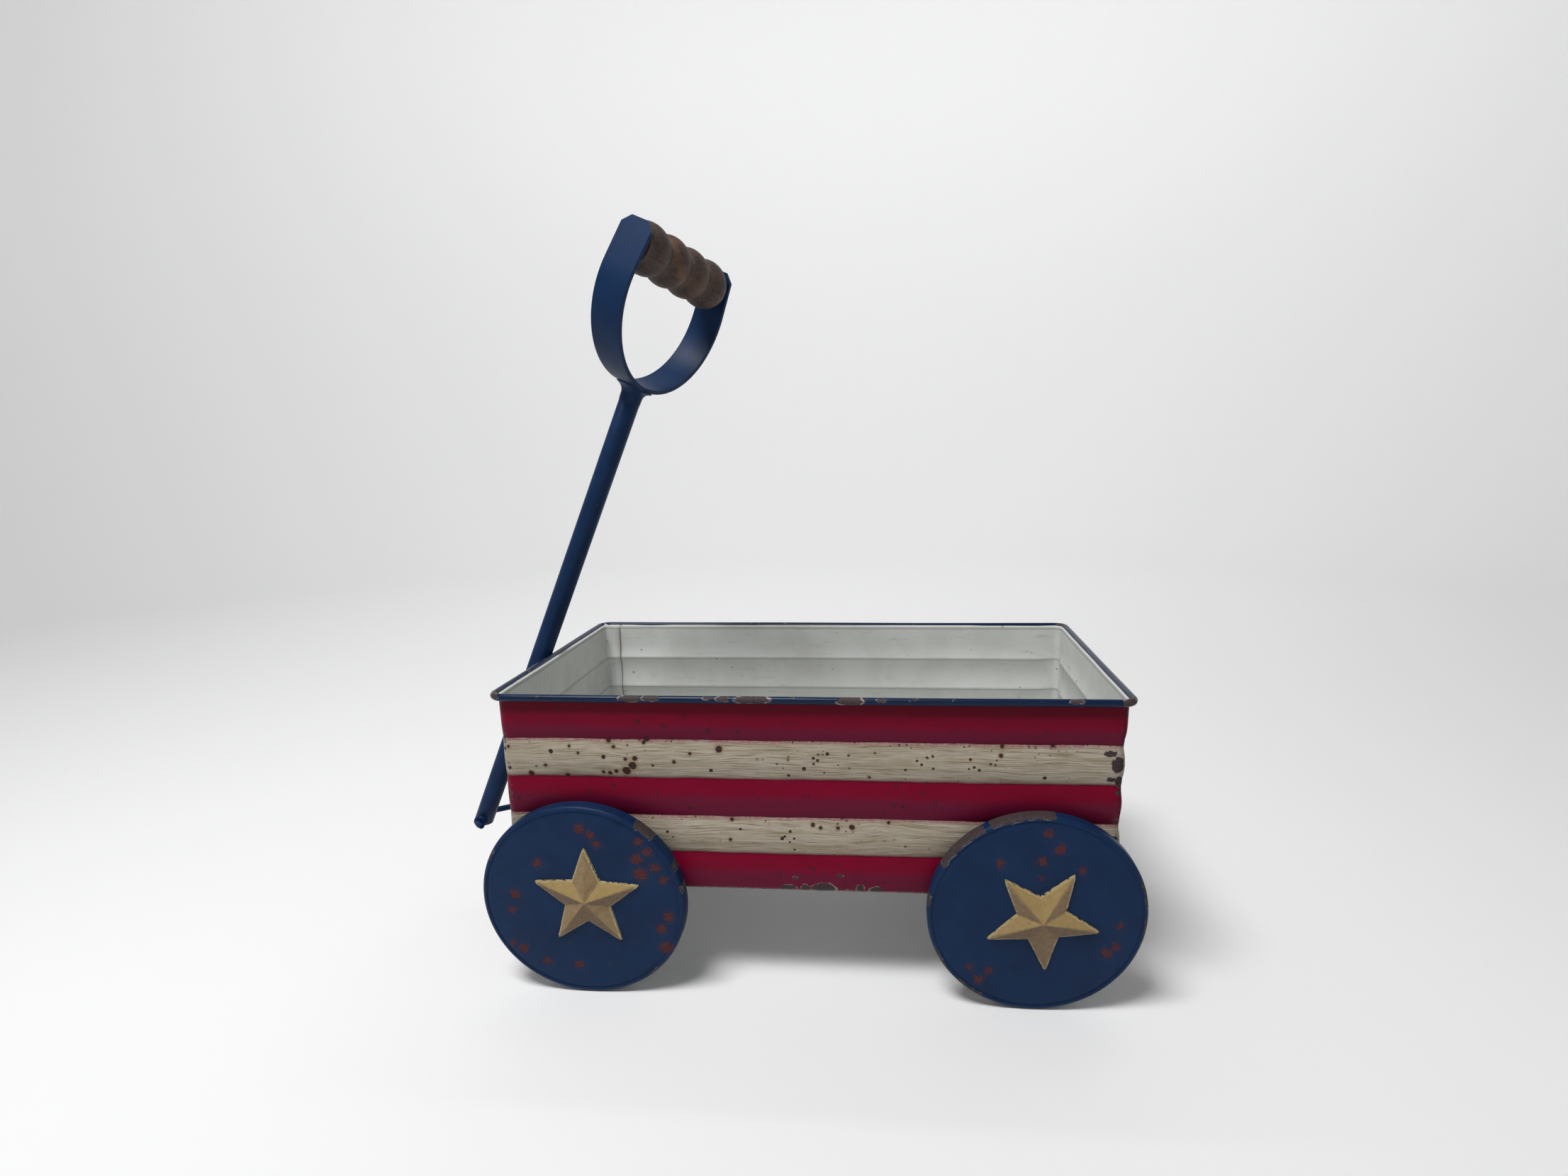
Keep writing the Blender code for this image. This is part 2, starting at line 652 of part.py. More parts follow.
def handle(paint, wood, steel):
    pivot = joint_empty(
        "handle_pivot", WAGON, (PIVOT_X, 0.0, HITCH_HEIGHT), (0.0, handle_lean(), 0.0)
    )
    pivot_sleeve(pivot, paint)
    pull_tube(pivot, paint)
    yoke_foot = (0.0, 0.0, TUBE_LENGTH + GAP)
    yoke = joint_empty("yoke_frame", pivot, yoke_foot, (0.0, 0.0, YOKE_TWIST))
    yoke_strap(yoke, paint)
    yoke_weld(yoke, paint)
    grip(yoke, wood, steel)


clear_scene()
PARTS = collection("wagon_with_pull_handle")
CUTTERS = collection("cutters")
WAGON = joint_empty("wagon_frame", None, (frame_offset(), 0.0, 0.0))

striped_paint = finish("striped_paint", (0.42, 0.01, 0.05), 0.35)
navy_paint = finish("navy_paint", (0.012, 0.035, 0.11), 0.38)
cream_paint = finish("cream_paint", (0.72, 0.70, 0.63), 0.50)
dark_steel = finish("dark_steel", (0.08, 0.08, 0.085), 0.55, 0.8)
walnut = finish("walnut", (0.10, 0.055, 0.035), 0.60)

body_sheet("sheet_left_front", 0.0, striped_paint)
body_sheet("sheet_right_rear", math.pi, striped_paint)
rim_roll(navy_paint)
closed_wire(
    "rim_wire",
    RIM_WIRE_RADIUS,
    rounded_outline(RIM_LENGTH / 2, RIM_WIDTH / 2, RIM_CORNER_RADIUS),
    RIM_HEIGHT,
    dark_steel,
)
floor_pan(cream_paint)
wheelset("front", -WHEEL_BASE / 2, navy_paint, dark_steel)
wheelset("rear", WHEEL_BASE / 2, navy_paint, dark_steel)
hitch_wire(navy_paint)
handle(navy_paint, walnut, dark_steel)
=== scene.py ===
"""The finish of a small painted sheet-metal wagon with a pull handle.

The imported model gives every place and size. Each operator makes one piece, or one group of like
pieces, at its final shape and paint. Local places are in millimetres wherever a name ends in _MM.
"""

import json
import math

import bmesh
import bpy
from mathutils import Matrix, Vector, noise


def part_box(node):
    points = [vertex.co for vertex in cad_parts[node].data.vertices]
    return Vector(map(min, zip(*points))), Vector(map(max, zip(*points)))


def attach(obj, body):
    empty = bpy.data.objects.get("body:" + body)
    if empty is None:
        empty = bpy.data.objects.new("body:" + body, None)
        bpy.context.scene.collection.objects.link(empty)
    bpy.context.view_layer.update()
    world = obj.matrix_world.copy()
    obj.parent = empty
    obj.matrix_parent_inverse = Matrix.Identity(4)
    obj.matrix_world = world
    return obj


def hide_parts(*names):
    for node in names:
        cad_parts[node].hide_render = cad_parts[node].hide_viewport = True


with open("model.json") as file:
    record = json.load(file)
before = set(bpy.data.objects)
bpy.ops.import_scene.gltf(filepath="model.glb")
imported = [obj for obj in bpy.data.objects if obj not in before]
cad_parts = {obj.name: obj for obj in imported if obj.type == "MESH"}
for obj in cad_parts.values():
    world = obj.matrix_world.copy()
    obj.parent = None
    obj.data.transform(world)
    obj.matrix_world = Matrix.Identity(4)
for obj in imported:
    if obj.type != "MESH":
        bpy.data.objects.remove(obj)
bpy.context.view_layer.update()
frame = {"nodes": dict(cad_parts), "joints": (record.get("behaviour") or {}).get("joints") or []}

bl_info = {
    "name": "Painted tin wagon",
    "version": (1, 0, 0),
    "blender": (4, 5, 0),
    "location": "3D View > Sidebar > Wagon",
    "description": "Makes the sheets, rim, wheels, handle and paint of a small tin wagon",
    "category": "Object",
}

MM = 0.001

JOINTS = {joint["name"]: joint for joint in frame["joints"]}
BANDS = 5
ENDS = ("front", "rear")
SIDES = {"left": -1.0, "right": 1.0}

# The rim's centre line and the walls under it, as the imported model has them.
RIM_LOW, RIM_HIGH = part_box("rim_wire")
PAN_LOW, PAN_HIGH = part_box("floor_pan")
SHEET_LOW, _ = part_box("sheet_left_front")
MIDDLE_X = (RIM_LOW.x + RIM_HIGH.x) / 2
BOX_BOTTOM = SHEET_LOW.z
RIM_WIRE_RADIUS = (RIM_HIGH.z - RIM_LOW.z) / 2
RIM_CENTRE_Z = (RIM_HIGH.z + RIM_LOW.z) / 2
RIM_HALF = ((RIM_HIGH.x - RIM_LOW.x) / 2 - RIM_WIRE_RADIUS, RIM_HIGH.y - RIM_WIRE_RADIUS)

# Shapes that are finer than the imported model's, in metres.
RIB_STEPS = 16
FOLD_RADIUS = 0.0034
TAB_BEND_RADIUS = 0.0015
TAB_WIDTH = 0.0080
RIM_STRIP = 0.0006
RIM_CORNER_RADIUS = 0.0070
WHEEL_GAUGE = 0.0010
WHEEL_DISH = 0.0005
STAR_EDGE = 0.0012
STAR_BLUR = 0.00035
HOOK_BEND_RADIUS = 0.0045
HOOK_END_LENGTH = 0.0060
HOOK_STUB_LENGTH = 0.0035
TUBE_RADIUS = 0.00575
TUBE_BELOW_PIN = 0.0060
SLEEVE_WALL = 0.0016
YOKE_RADIUS = 0.0450
YOKE_LEAN_DEGREES = 10.8
YOKE_TOP = 0.0760
YOKE_HALF_WIDTH = 0.0095
YOKE_CLIP = 0.0045
WELD_INNER_RADIUS = 0.0052
BEAD_RADIUS = 0.0127
BEAD_END_RADIUS = 0.0092
BEAD_BORE_RADIUS = 0.0028

# The handle's own directions: up the tube, and across the grip.
PIVOT = Vector(JOINTS["handle_pivot"]["pos_m"])
GRIP = Vector(JOINTS["bead_1_turn"]["pos_m"])
TUBE_UP = (GRIP - PIVOT).normalized()
GRIP_ACROSS = Vector(JOINTS["bead_1_turn"]["axis"]).normalized()


def tone(code):
    """A colour written as six hex digits, as the linear values that shaders take."""
    shares = [int(code[start : start + 2], 16) / 255 for start in (0, 2, 4)]
    linear = [share / 12.92 if share <= 0.04045 else ((share + 0.055) / 1.055) ** 2.4 for share in shares]
    return (*linear, 1.0)


# What a user would change


def length(name, description, default):
    return bpy.props.FloatProperty(
        name=name, description=description, default=default, min=0.0, unit="LENGTH", precision=4
    )


def colour(name, description, code):
    return bpy.props.FloatVectorProperty(
        name=name, description=description, default=tone(code), size=4, subtype="COLOR", min=0.0, max=1.0
    )


class WagonSizes(bpy.types.PropertyGroup):
    """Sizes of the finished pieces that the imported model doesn't state."""

    sheet: length("Sheet", "Thickness of the body sheets", 0.0008)
    sheet_gap: length("Sheet gap", "Clearance between the floor pan and the sheets", 0.0003)
    band_height: length("Band height", "Height of one painted rib", 0.0210)
    bulge: length("Bulge", "How far a rib stands out of the grooves", 0.0018)
    spread: length("Spread", "How much farther out the box's ends stand at their foot", 0.0024)
    dent: length("Dents", "How far the sheets wander from true", 0.0004)
    wheel_depth: length("Wheel depth", "Depth of a wheel from its face to the edge of its lip", 0.0081)
    wheel_lip: length("Wheel lip", "Radius of the bend between a wheel's face and its lip", 0.0021)
    star_tip: length("Star tip", "Radius of the raised stars over their tips", 0.0290)
    star_notch: length("Star notch", "Radius of the raised stars at their notches", 0.0128)
    star_peak: length("Star peak", "Height of the raised stars at their middle", 0.0061)
    strap: length("Yoke strap", "Thickness of the handle's strap", 0.0022)
    room: length("Studio", "Radius of the plain floor", 1.7)


class WagonColours(bpy.types.PropertyGroup):
    """Colours of the paint, the metal and the wood."""

    red: colour("Red", "The red bands", "740126")
    # Plum is painted shade and reflection over the lower part of each red band.
    plum: colour("Plum", "The duller lower part of a red band", "5e1332")
    cream: colour("Cream", "The pale bands", "afa798")
    glaze: colour("Glaze", "The brown brushed into the pale bands", "705f44")
    splatter: colour("Splatter", "The dark drops over the bands", "331a1e")
    navy: colour("Navy", "The rim, wheels and handle", "0e2a4d")
    bare: colour("Bare", "Primer and metal where paint is gone", "3a3031")
    chip_edge: colour("Chip edge", "The broken edge of a chip", "a69c95")
    rust: colour("Rust", "The red-brown spots on the navy paint", "5a2f27")
    inside: colour("Inside", "The box's inner faces and floor", "cccecb")
    gold: colour("Gold", "The raised stars", "927c5b")
    steel: colour("Steel", "The axles and what holds them", "343335")
    wood: colour("Wood", "The beads of the grip", "4b3b35")
    stage: colour("Stage", "The floor that the wagon stands on", "f6f6f6")


# Paint as expressions


class Field:
    """Something that changes over a surface. Python's operators on it add Math nodes."""

    def __init__(self, finish, socket):
        self.finish = finish
        self.socket = socket

    def math(self, operation, *others):
        return self.finish.math(operation, self, *others)

    def __add__(self, other):
        return self.math("ADD", other)

    __radd__ = __add__

    def __sub__(self, other):
        return self.math("SUBTRACT", other)

    def __rsub__(self, other):
        return self.finish.math("SUBTRACT", other, self)

    def __mul__(self, other):
        return self.math("MULTIPLY", other)

    __rmul__ = __mul__

    def __truediv__(self, other):
        return self.math("DIVIDE", other)

    def __abs__(self):
        return self.math("ABSOLUTE")

    def __mod__(self, other):
        return self.math("FLOORED_MODULO", other)

    def least(self, other):
        return self.math("MINIMUM", other)

    def most(self, other):
        return self.math("MAXIMUM", other)

    def rise(self, start, end):
        """0 at start and 1 at end, with a smooth climb between them. End may be the lower one."""
        sockets = {0: self, 1: start, 2: end, 3: 0.0, 4: 1.0}
        if not isinstance(start, Field) and not isinstance(end, Field) and end < start:
            sockets = {0: self, 1: end, 2: start, 3: 1.0, 4: 0.0}
        return self.finish.node("ShaderNodeMapRange", {"interpolation_type": "SMOOTHSTEP"}, sockets)


class Finish:
    """One material, and the one way in which its nodes are added."""

    def __init__(self, name, roughness=0.5, metallic=0.0, specular=0.5):
        self.material = bpy.data.materials.new(name)
        self.material.use_nodes = True
        self.tree = self.material.node_tree
        self.shader = self.tree.nodes["Principled BSDF"]
        self.shader.inputs["Roughness"].default_value = roughness
        self.shader.inputs["Metallic"].default_value = metallic
        self.shader.inputs["Specular IOR Level"].default_value = specular
        self.places = self.node("ShaderNodeTexCoord", output="Object")

    def node(self, kind, settings=None, sockets=None, output=0):
        made = self.tree.nodes.new(kind)
        for name, value in (settings or {}).items():
            setattr(made, name, value)
        for where, value in (sockets or {}).items():
            self.feed(made.inputs[where], value)
        return Field(self, made.outputs[output])

    def feed(self, socket, value):
        if isinstance(value, Field):
            self.tree.links.new(value.socket, socket)
        else:
            socket.default_value = value

    def set(self, **inputs):
        for name, value in inputs.items():
            self.feed(self.shader.inputs[name.replace("_", " ").title()], value)

    def math(self, operation, *values):
        return self.node("ShaderNodeMath", {"operation": operation}, dict(enumerate(values)))

    def vector(self, operation, *values, output=0):
        return self.node("ShaderNodeVectorMath", {"operation": operation}, dict(enumerate(values)), output)

    def scaled(self, places, scale):
        if not isinstance(scale, tuple):
            scale = (scale, scale, scale)
        return self.vector("MULTIPLY", places, scale)

    def moved(self, places, shift):
        return self.vector("ADD", places, shift)

    def axes(self, places):
        split = self.node("ShaderNodeSeparateXYZ", sockets={0: places}).socket.node
        return [Field(self, socket) for socket in split.outputs]

    def joined(self, x, y, z):
        return self.node("ShaderNodeCombineXYZ", sockets={0: x, 1: y, 2: z})

    def noise(self, places, scale=1.0, detail=3.0, rough=0.55, warp=0.0):
        sockets = {"Vector": places, "Scale": scale, "Detail": detail, "Roughness": rough, "Distortion": warp}
        return self.node("ShaderNodeTexNoise", sockets=sockets)

    def cells(self, places, scale=1.0, feature="F1", output="Distance"):
        sockets = {"Vector": places, "Scale": scale}
        return self.node("ShaderNodeTexVoronoi", {"feature": feature}, sockets, output)

    def mix(self, share, first, second, blend="MIX"):
        settings = {"data_type": "RGBA", "blend_type": blend, "clamp_factor": True}
        return self.node("ShaderNodeMix", settings, {0: share, 6: first, 7: second}, 2)

    def bump(self, height, depth, strength=1.0):
        """Raises the surface by depth, in metres, where height is 1."""
        sockets = {"Strength": strength, "Distance": depth, "Height": height}
        self.set(normal=self.node("ShaderNodeBump", sockets=sockets))

    def wander(self, places_mm, reach, size, detail=3.0):
        """The places, each moved by up to about reach, so that what is drawn with them is ragged."""
        sockets = {"Vector": places_mm, "Scale": 1.0 / size, "Detail": detail, "Roughness": 0.6}
        drift = self.node("ShaderNodeTexNoise", sockets=sockets, output="Color")
        centred = self.vector("SUBTRACT", drift, (0.5, 0.5, 0.5))
        return self.vector("ADD", places_mm, self.scaled(centred, 2.0 * reach))

    def nearest(self, places_mm, spots):
        """How far outside the nearest spot a place is. A spot is (x, y, z, half sizes x, y, z)."""
        nearest = None
        for spot in spots:
            away = self.vector("SUBTRACT", places_mm, tuple(spot[:3]))
            away = self.vector("DIVIDE", away, tuple(spot[3:6]))
            away = self.vector("LENGTH", away, output="Value")
            away = (away - 1.0) * min(spot[3:6])
            nearest = away if nearest is None else nearest.least(away)
        return nearest

    def drops(self, places_mm, size, share, seed):
        """1 inside scattered round drops. Share is the part of the cells that hold one."""
        where = self.moved(self.scaled(places_mm, 1.0 / size), (seed, -seed, 2.0 * seed))
        away = self.cells(where)
        chance = self.axes(self.cells(where, output="Color"))
        radius = chance[1] * 0.26 + 0.05
        inside = (away - radius).rise(0.06, -0.02)
        return inside * chance[0].rise(1.0 - share + 0.01, 1.0 - share + 0.02)


def flat_places(finish, first, second):
    """Places with the third axis dropped, so that a spot reaches through the sheet."""
    return finish.joined(first, 0.0, second)


def chipped(finish, paint, roughness, outside, colours, soft=0.08, edge=0.16):
    """Lays bare metal, with a pale broken edge, where the distance outside a chip is below 0."""
    bare = outside.rise(soft, -soft)
    rim = outside.rise(edge + soft, edge - soft) * (1.0 - bare)
    grain = finish.noise(finish.places, 900.0, 3.0)
    broken = finish.noise(finish.places, 260.0, 2.0).rise(0.42, 0.62)
    metal = finish.mix(grain.rise(0.3, 0.7), tuple(colours.bare), tone("473d3e"))
    paint = finish.mix(rim * broken * 0.8, paint, tuple(colours.chip_edge))
    return finish.mix(bare, paint, metal), roughness + bare * 0.3, bare


# Finishes


def band_paint(colours, sizes, name, chips):
    """The outer faces of the sheets: red and pale bands, brushed, splattered and chipped, with painted shade
    at the grooves, under the rim and over the lower part of the red bands.
    """
    finish = Finish(name, specular=0.10)
    places = finish.scaled(finish.places, 1.0 / MM)
    x, y, height = finish.axes(places)
    band = sizes.band_height / MM
    wobble = finish.noise(finish.scaled(places, (0.05, 0.05, 0.02)), 1.0, 4.0) - 0.5
    fuzz = finish.noise(places, 2.2, 3.0) - 0.5
    line = (height + wobble * 1.4 + fuzz * 0.35).least(4.99 * band).most(0.01)
    within = line % (2.0 * band)
    pale = within.rise(band - 0.12, band + 0.12) * within.rise(2.0 * band + 0.1, 2.0 * band - 0.02)

    # The pale paint: strokes along the band, in three widths, over a brown ground.
    sway = finish.noise(finish.scaled(places, (0.02, 0.02, 0.05)), 1.0, 2.0) * 6.0
    lie = finish.joined(x, y, height + sway)
    broad = finish.noise(finish.scaled(lie, (0.018, 0.018, 0.55)), 1.0, 4.0, 0.6)
    fine = finish.noise(finish.scaled(lie, (0.045, 0.045, 2.3)), 1.0, 5.0, 0.65)
    hair = finish.noise(finish.moved(finish.scaled(lie, (0.06, 0.06, 5.2)), (7.0, 3.0, 1.0)), 1.0, 3.0, 0.6)
    brushed = finish.mix(broad.rise(0.62, 0.30) * 0.55, tuple(colours.cream), tone("92846d"))
    brushed = finish.mix(fine.rise(0.54, 0.34) * 0.9, brushed, tuple(colours.glaze))
    brushed = finish.mix(hair.rise(0.44, 0.30) * 0.75, brushed, tone("554230"))
    brushed = finish.mix(fine.rise(0.60, 0.76) * 0.6, brushed, tone("c8c2b6"))
    lower = within - band
    # Painted shade: the pale band is darker next to the grooves at its top and bottom.
    shade = lower.rise(3.0, 0.4) * 0.45 + lower.rise(band - 2.5, band - 0.3) * 0.35
    brushed = finish.mix(shade, brushed, tone("7d6d58"))
    haze = lower.rise(band - 2.6, band - 0.1) * finish.noise(places, 0.6, 4.0).rise(0.36, 0.60)
    brushed = finish.mix(haze * 0.7, brushed, tone("984a60"))
    sprayed = (lower + fuzz * 1.4).rise(1.7, -0.4)
    brushed = finish.mix(sprayed * 0.8, brushed, tone("6a2a42"))

    # The red paint: a little uneven, with painted shade: darker towards the grooves, maroon under the rim on
    # the top band, and plum over the lower part of each band.
    cloud = finish.noise(finish.scaled(places, (0.06, 0.06, 0.2)), 1.0, 4.0)
    crimson = finish.mix(cloud.rise(0.35, 0.7) * 0.5, tuple(colours.red), tone("6b021e"))
    top_band = line.rise(4.0 * band - 1.0, 4.0 * band + 1.0)
    plum_shade_line = 0.54 * band - top_band * (0.20 * band)
    # Painted shade and reflection: the lower part of each red band is mixed towards plum.
    plum_shade = (within - plum_shade_line + wobble * 3.0).rise(2.2, -2.2)
    crimson = finish.mix(plum_shade * 0.72, crimson, tuple(colours.plum))
    # Painted shadow: the upper part of the top band turns maroon under the rim.
    shadow = top_band * within.rise(0.62 * band, 0.78 * band)
    crimson = finish.mix(shadow * 0.85, crimson, tone("5a0019"))
    # Painted shade: the red darkens next to the grooves above and below it.
    groove_shade = (1.0 - within.rise(0.1, 1.0)) + within.rise(band - 1.0, band - 0.2) * within.rise(band + 1.0, band)
    crimson = finish.mix(groove_shade.least(1.0) * 0.5, crimson, tone("35081c"))
    paint = finish.mix(pale, crimson, brushed)

    # Drops of dark paint, in clusters, softer on the red.
    cluster = finish.noise(finish.moved(places, (31.0, 0.0, 5.0)), 0.028, 2.0).rise(0.42, 0.58)
    dots = finish.drops(places, 2.6, 0.36, 3.0) * cluster
    dots = dots.most(finish.drops(places, 4.0, 0.05, 11.0))
    clouds = [(px, 0.0, pz, r, 1.0, r) for px, pz, r in SPRAY_MM]
    spray = finish.nearest(flat_places(finish, x, height), clouds)
    dots = dots.most(finish.drops(places, 2.8, 0.72, 5.0) * spray.rise(2.0, -2.0))
    placed = finish.wander(flat_places(finish, x, height), 0.5, 1.3)
    outside = finish.nearest(placed, [(px, 0.0, pz, r, 1.0, r) for px, pz, r in SPLATTER_MM])
    near_side = y.rise(-RIM_HALF[1] / MM + 14.0, -RIM_HALF[1] / MM + 10.0)
    dots = dots.most(outside.rise(0.42, 0.08) * near_side)
    halo = outside.rise(1.6, 0.3) * near_side * 0.45 * pale
    paint = finish.mix(halo, paint, tone("7c6440"))
    paint = finish.mix(dots * (0.95 * pale + 0.6 * (1.0 - pale)), paint, tuple(colours.splatter))

    # Chips: the placed ones, the worn bottom edge, and the corners.
    ragged = finish.wander(flat_places(finish, x, height), 1.4, 2.2, 4.0)
    gone = finish.nearest(ragged, [(px, 0.0, pz, rx, 1.0, rz) for px, pz, rx, rz in chips])
    gone = gone + (1.0 - near_side) * 50.0
    edge_wear = finish.noise(places, 0.35, 5.0, 0.65)
    low_edge = (height - 0.5) * 0.6 - (edge_wear - 0.63) * 16.0
    end_x = RIM_HALF[0] / MM - 3.6
    end_y = RIM_HALF[1] / MM - 3.6
    corner = (end_x - abs(x)).most(end_y - abs(y)).most(0.0)
    knocks = finish.noise(finish.moved(places, (4.0, 9.0, 2.0)), 0.22, 5.0, 0.7)
    corners = corner * 0.55 - (knocks - 0.57) * 14.0
    gone = gone.least(low_edge).least(corners)
    rough = 0.40 + pale * 0.16 + fine * 0.06
    paint, rough, bare = chipped(finish, paint, rough, gone, colours)
    dust = height.rise(1.1, 0.2) * finish.noise(places, 1.2, 3.0).rise(0.35, 0.6)
    paint = finish.mix(dust * 0.6, paint, tone("a19790"))
    peel = finish.noise(places, 0.9, 2.0)
    relief = pale * (fine * 0.55 + hair * 0.2) + peel * 0.12 - bare * 0.8 + dots * 0.35
    finish.set(base_color=paint, roughness=rough)
    finish.bump(relief, 0.00012)
    return finish.material


def inside_paint(colours, name="inside_paint", band=0.0):
    """The pale satin paint inside the box, with grime and specks scattered over it, and painted shade along
    the rib grooves when a band height is given.
    """
    finish = Finish(name, specular=0.4)
    places = finish.scaled(finish.places, 1.0 / MM)
    cloud = finish.noise(places, 0.035, 4.0, 0.6)
    speck = finish.drops(places, 3.4, 0.06, 5.0)
    paint = finish.mix(cloud.rise(0.35, 0.7) * 0.5, tuple(colours.inside), tone("babab4"))
    grime = finish.noise(finish.scaled(places, (0.05, 0.05, 0.3)), 1.0, 5.0, 0.65)
    paint = finish.mix(grime.rise(0.56, 0.78) * 0.35, paint, tone("8d8576"))
    if band:
        # Painted shade: dark lines along the rib grooves.
        up = finish.axes(places)[2] % (band / MM)
        groove = up.rise(1.3, 0.3).most(up.rise(band / MM - 1.1, band / MM - 0.2))
        paint = finish.mix(groove * 0.42, paint, tone("6f706c"))
    paint = finish.mix(speck * 0.6, paint, tone("5f4c40"))
    finish.set(base_color=paint, roughness=0.44 + cloud * 0.14)
    orange = finish.noise(places, 0.8, 2.0)
    finish.bump(orange * 0.5 + cloud * 0.6, 0.0001)
    return finish.material


def navy_paint(colours, name, gone=None, rusty=None, seed=0.0, wear=0.0):
    """Semi-gloss navy. Gone and rusty are given the finish, and say how far outside a spot is."""
    finish = Finish(name, specular=0.14)
    places = finish.scaled(finish.places, 1.0 / MM)
    sown = finish.moved(places, (seed, 2.0 * seed, -seed))
    cloud = finish.noise(sown, 0.05, 4.0, 0.6)
    fine = finish.noise(sown, 1.1, 4.0, 0.6)
    paint = finish.mix(cloud.rise(0.35, 0.72) * 0.6, tuple(colours.navy), tone("0b1f3c"))
    paint = finish.mix(fine.rise(0.6, 0.8) * 0.25, paint, tone("334d79"))
    rough = 0.36 + cloud * 0.10 + fine * 0.08
    if rusty:
        spot = rusty(finish, places)
        crumb = finish.noise(sown, 0.75, 5.0, 0.68)
        stain = (crumb - 0.45 - (spot + 0.2) * 0.10).rise(0.0, 0.06)
        faint = spot.rise(4.0, 0.0) * crumb.rise(0.45, 0.7) * 0.3
        rust = finish.mix(fine.rise(0.4, 0.62), tuple(colours.rust), tone("4a2523"))
        paint = finish.mix((stain * 0.85).most(faint), paint, rust)
        rough = rough + stain * 0.3
    speck = finish.drops(sown, 4.0, 0.012, 2.0)
    paint = finish.mix(speck * 0.7, paint, tone("98948c"))
    worn = (0.80 - wear * 0.28 - finish.noise(sown, 0.16, 5.0, 0.68)) * 20.0
    if gone:
        worn = worn.least(gone(finish, places))
    paint, rough, bare = chipped(finish, paint, rough, worn, colours)
    finish.set(base_color=paint, roughness=rough)
    finish.bump(finish.noise(sown, 0.7, 2.0) * 0.35 + fine * 0.1 - bare * 0.8, 0.0001)
    return finish.material


def rim_paint(colours):
    """Navy over the roll, and the inside's pale paint where it turns down into the box."""
    finish = Finish("rim_paint", specular=0.2)
    places = finish.scaled(finish.places, 1.0 / MM)
    x, y, height = finish.axes(places)
    outward = (abs(x) - RIM_HALF[0] / MM).most(abs(y) - RIM_HALF[1] / MM)
    ragged = finish.noise(places, 0.45, 5.0, 0.65) - 0.5
    navy_share = (outward + height * 0.5 + ragged * 1.5).rise(-2.15, -2.0)
    cloud = finish.noise(places, 0.04, 4.0)
    fine = finish.noise(places, 1.2, 4.0)
    navy = finish.mix(cloud.rise(0.35, 0.7) * 0.5, tuple(colours.navy), tone("122242"))
    navy = finish.mix(0.42, navy, tone("040c1c"))
    navy = finish.mix(fine.rise(0.62, 0.8) * 0.25, navy, tone("425f8c"))
    pale = finish.mix(cloud.rise(0.4, 0.7) * 0.4, tuple(colours.inside), tone("9b978b"))
    paint = finish.mix(navy_share, pale, navy)
    strip = finish.wander(flat_places(finish, x, height), 0.9, 2.4, 4.0)
    near = y.rise(-RIM_HALF[1] / MM + 12.0, -RIM_HALF[1] / MM + 8.0)
    gone = finish.nearest(strip, [(px, 0.0, pz, rx, 1.0, rz) for px, pz, rx, rz in RIM_CHIPS_MM])
    gone = gone + (1.0 - near) * 50.0
    top = 1.0 - height.rise(0.9, 0.1)
    end = (RIM_HALF[0] / MM - abs(x)).most(RIM_HALF[1] / MM - abs(y)).rise(9.0, 2.0)
    wear = finish.noise(finish.moved(places, (3.0, 8.0, 1.0)), 0.13, 5.0, 0.7)
    worn = (0.70 - top * 0.05 - end * 0.10 - wear) * 16.0
    gone = gone.least(worn)
    rough = 0.24 + cloud * 0.12 + (1.0 - navy_share) * 0.16
    paint, rough, bare = chipped(finish, paint, rough, gone, colours, edge=0.2)
    finish.set(base_color=paint, roughness=rough)
    finish.bump(fine * 0.2 + ragged * 0.2 - bare * 0.8, 0.0001)
    return finish.material


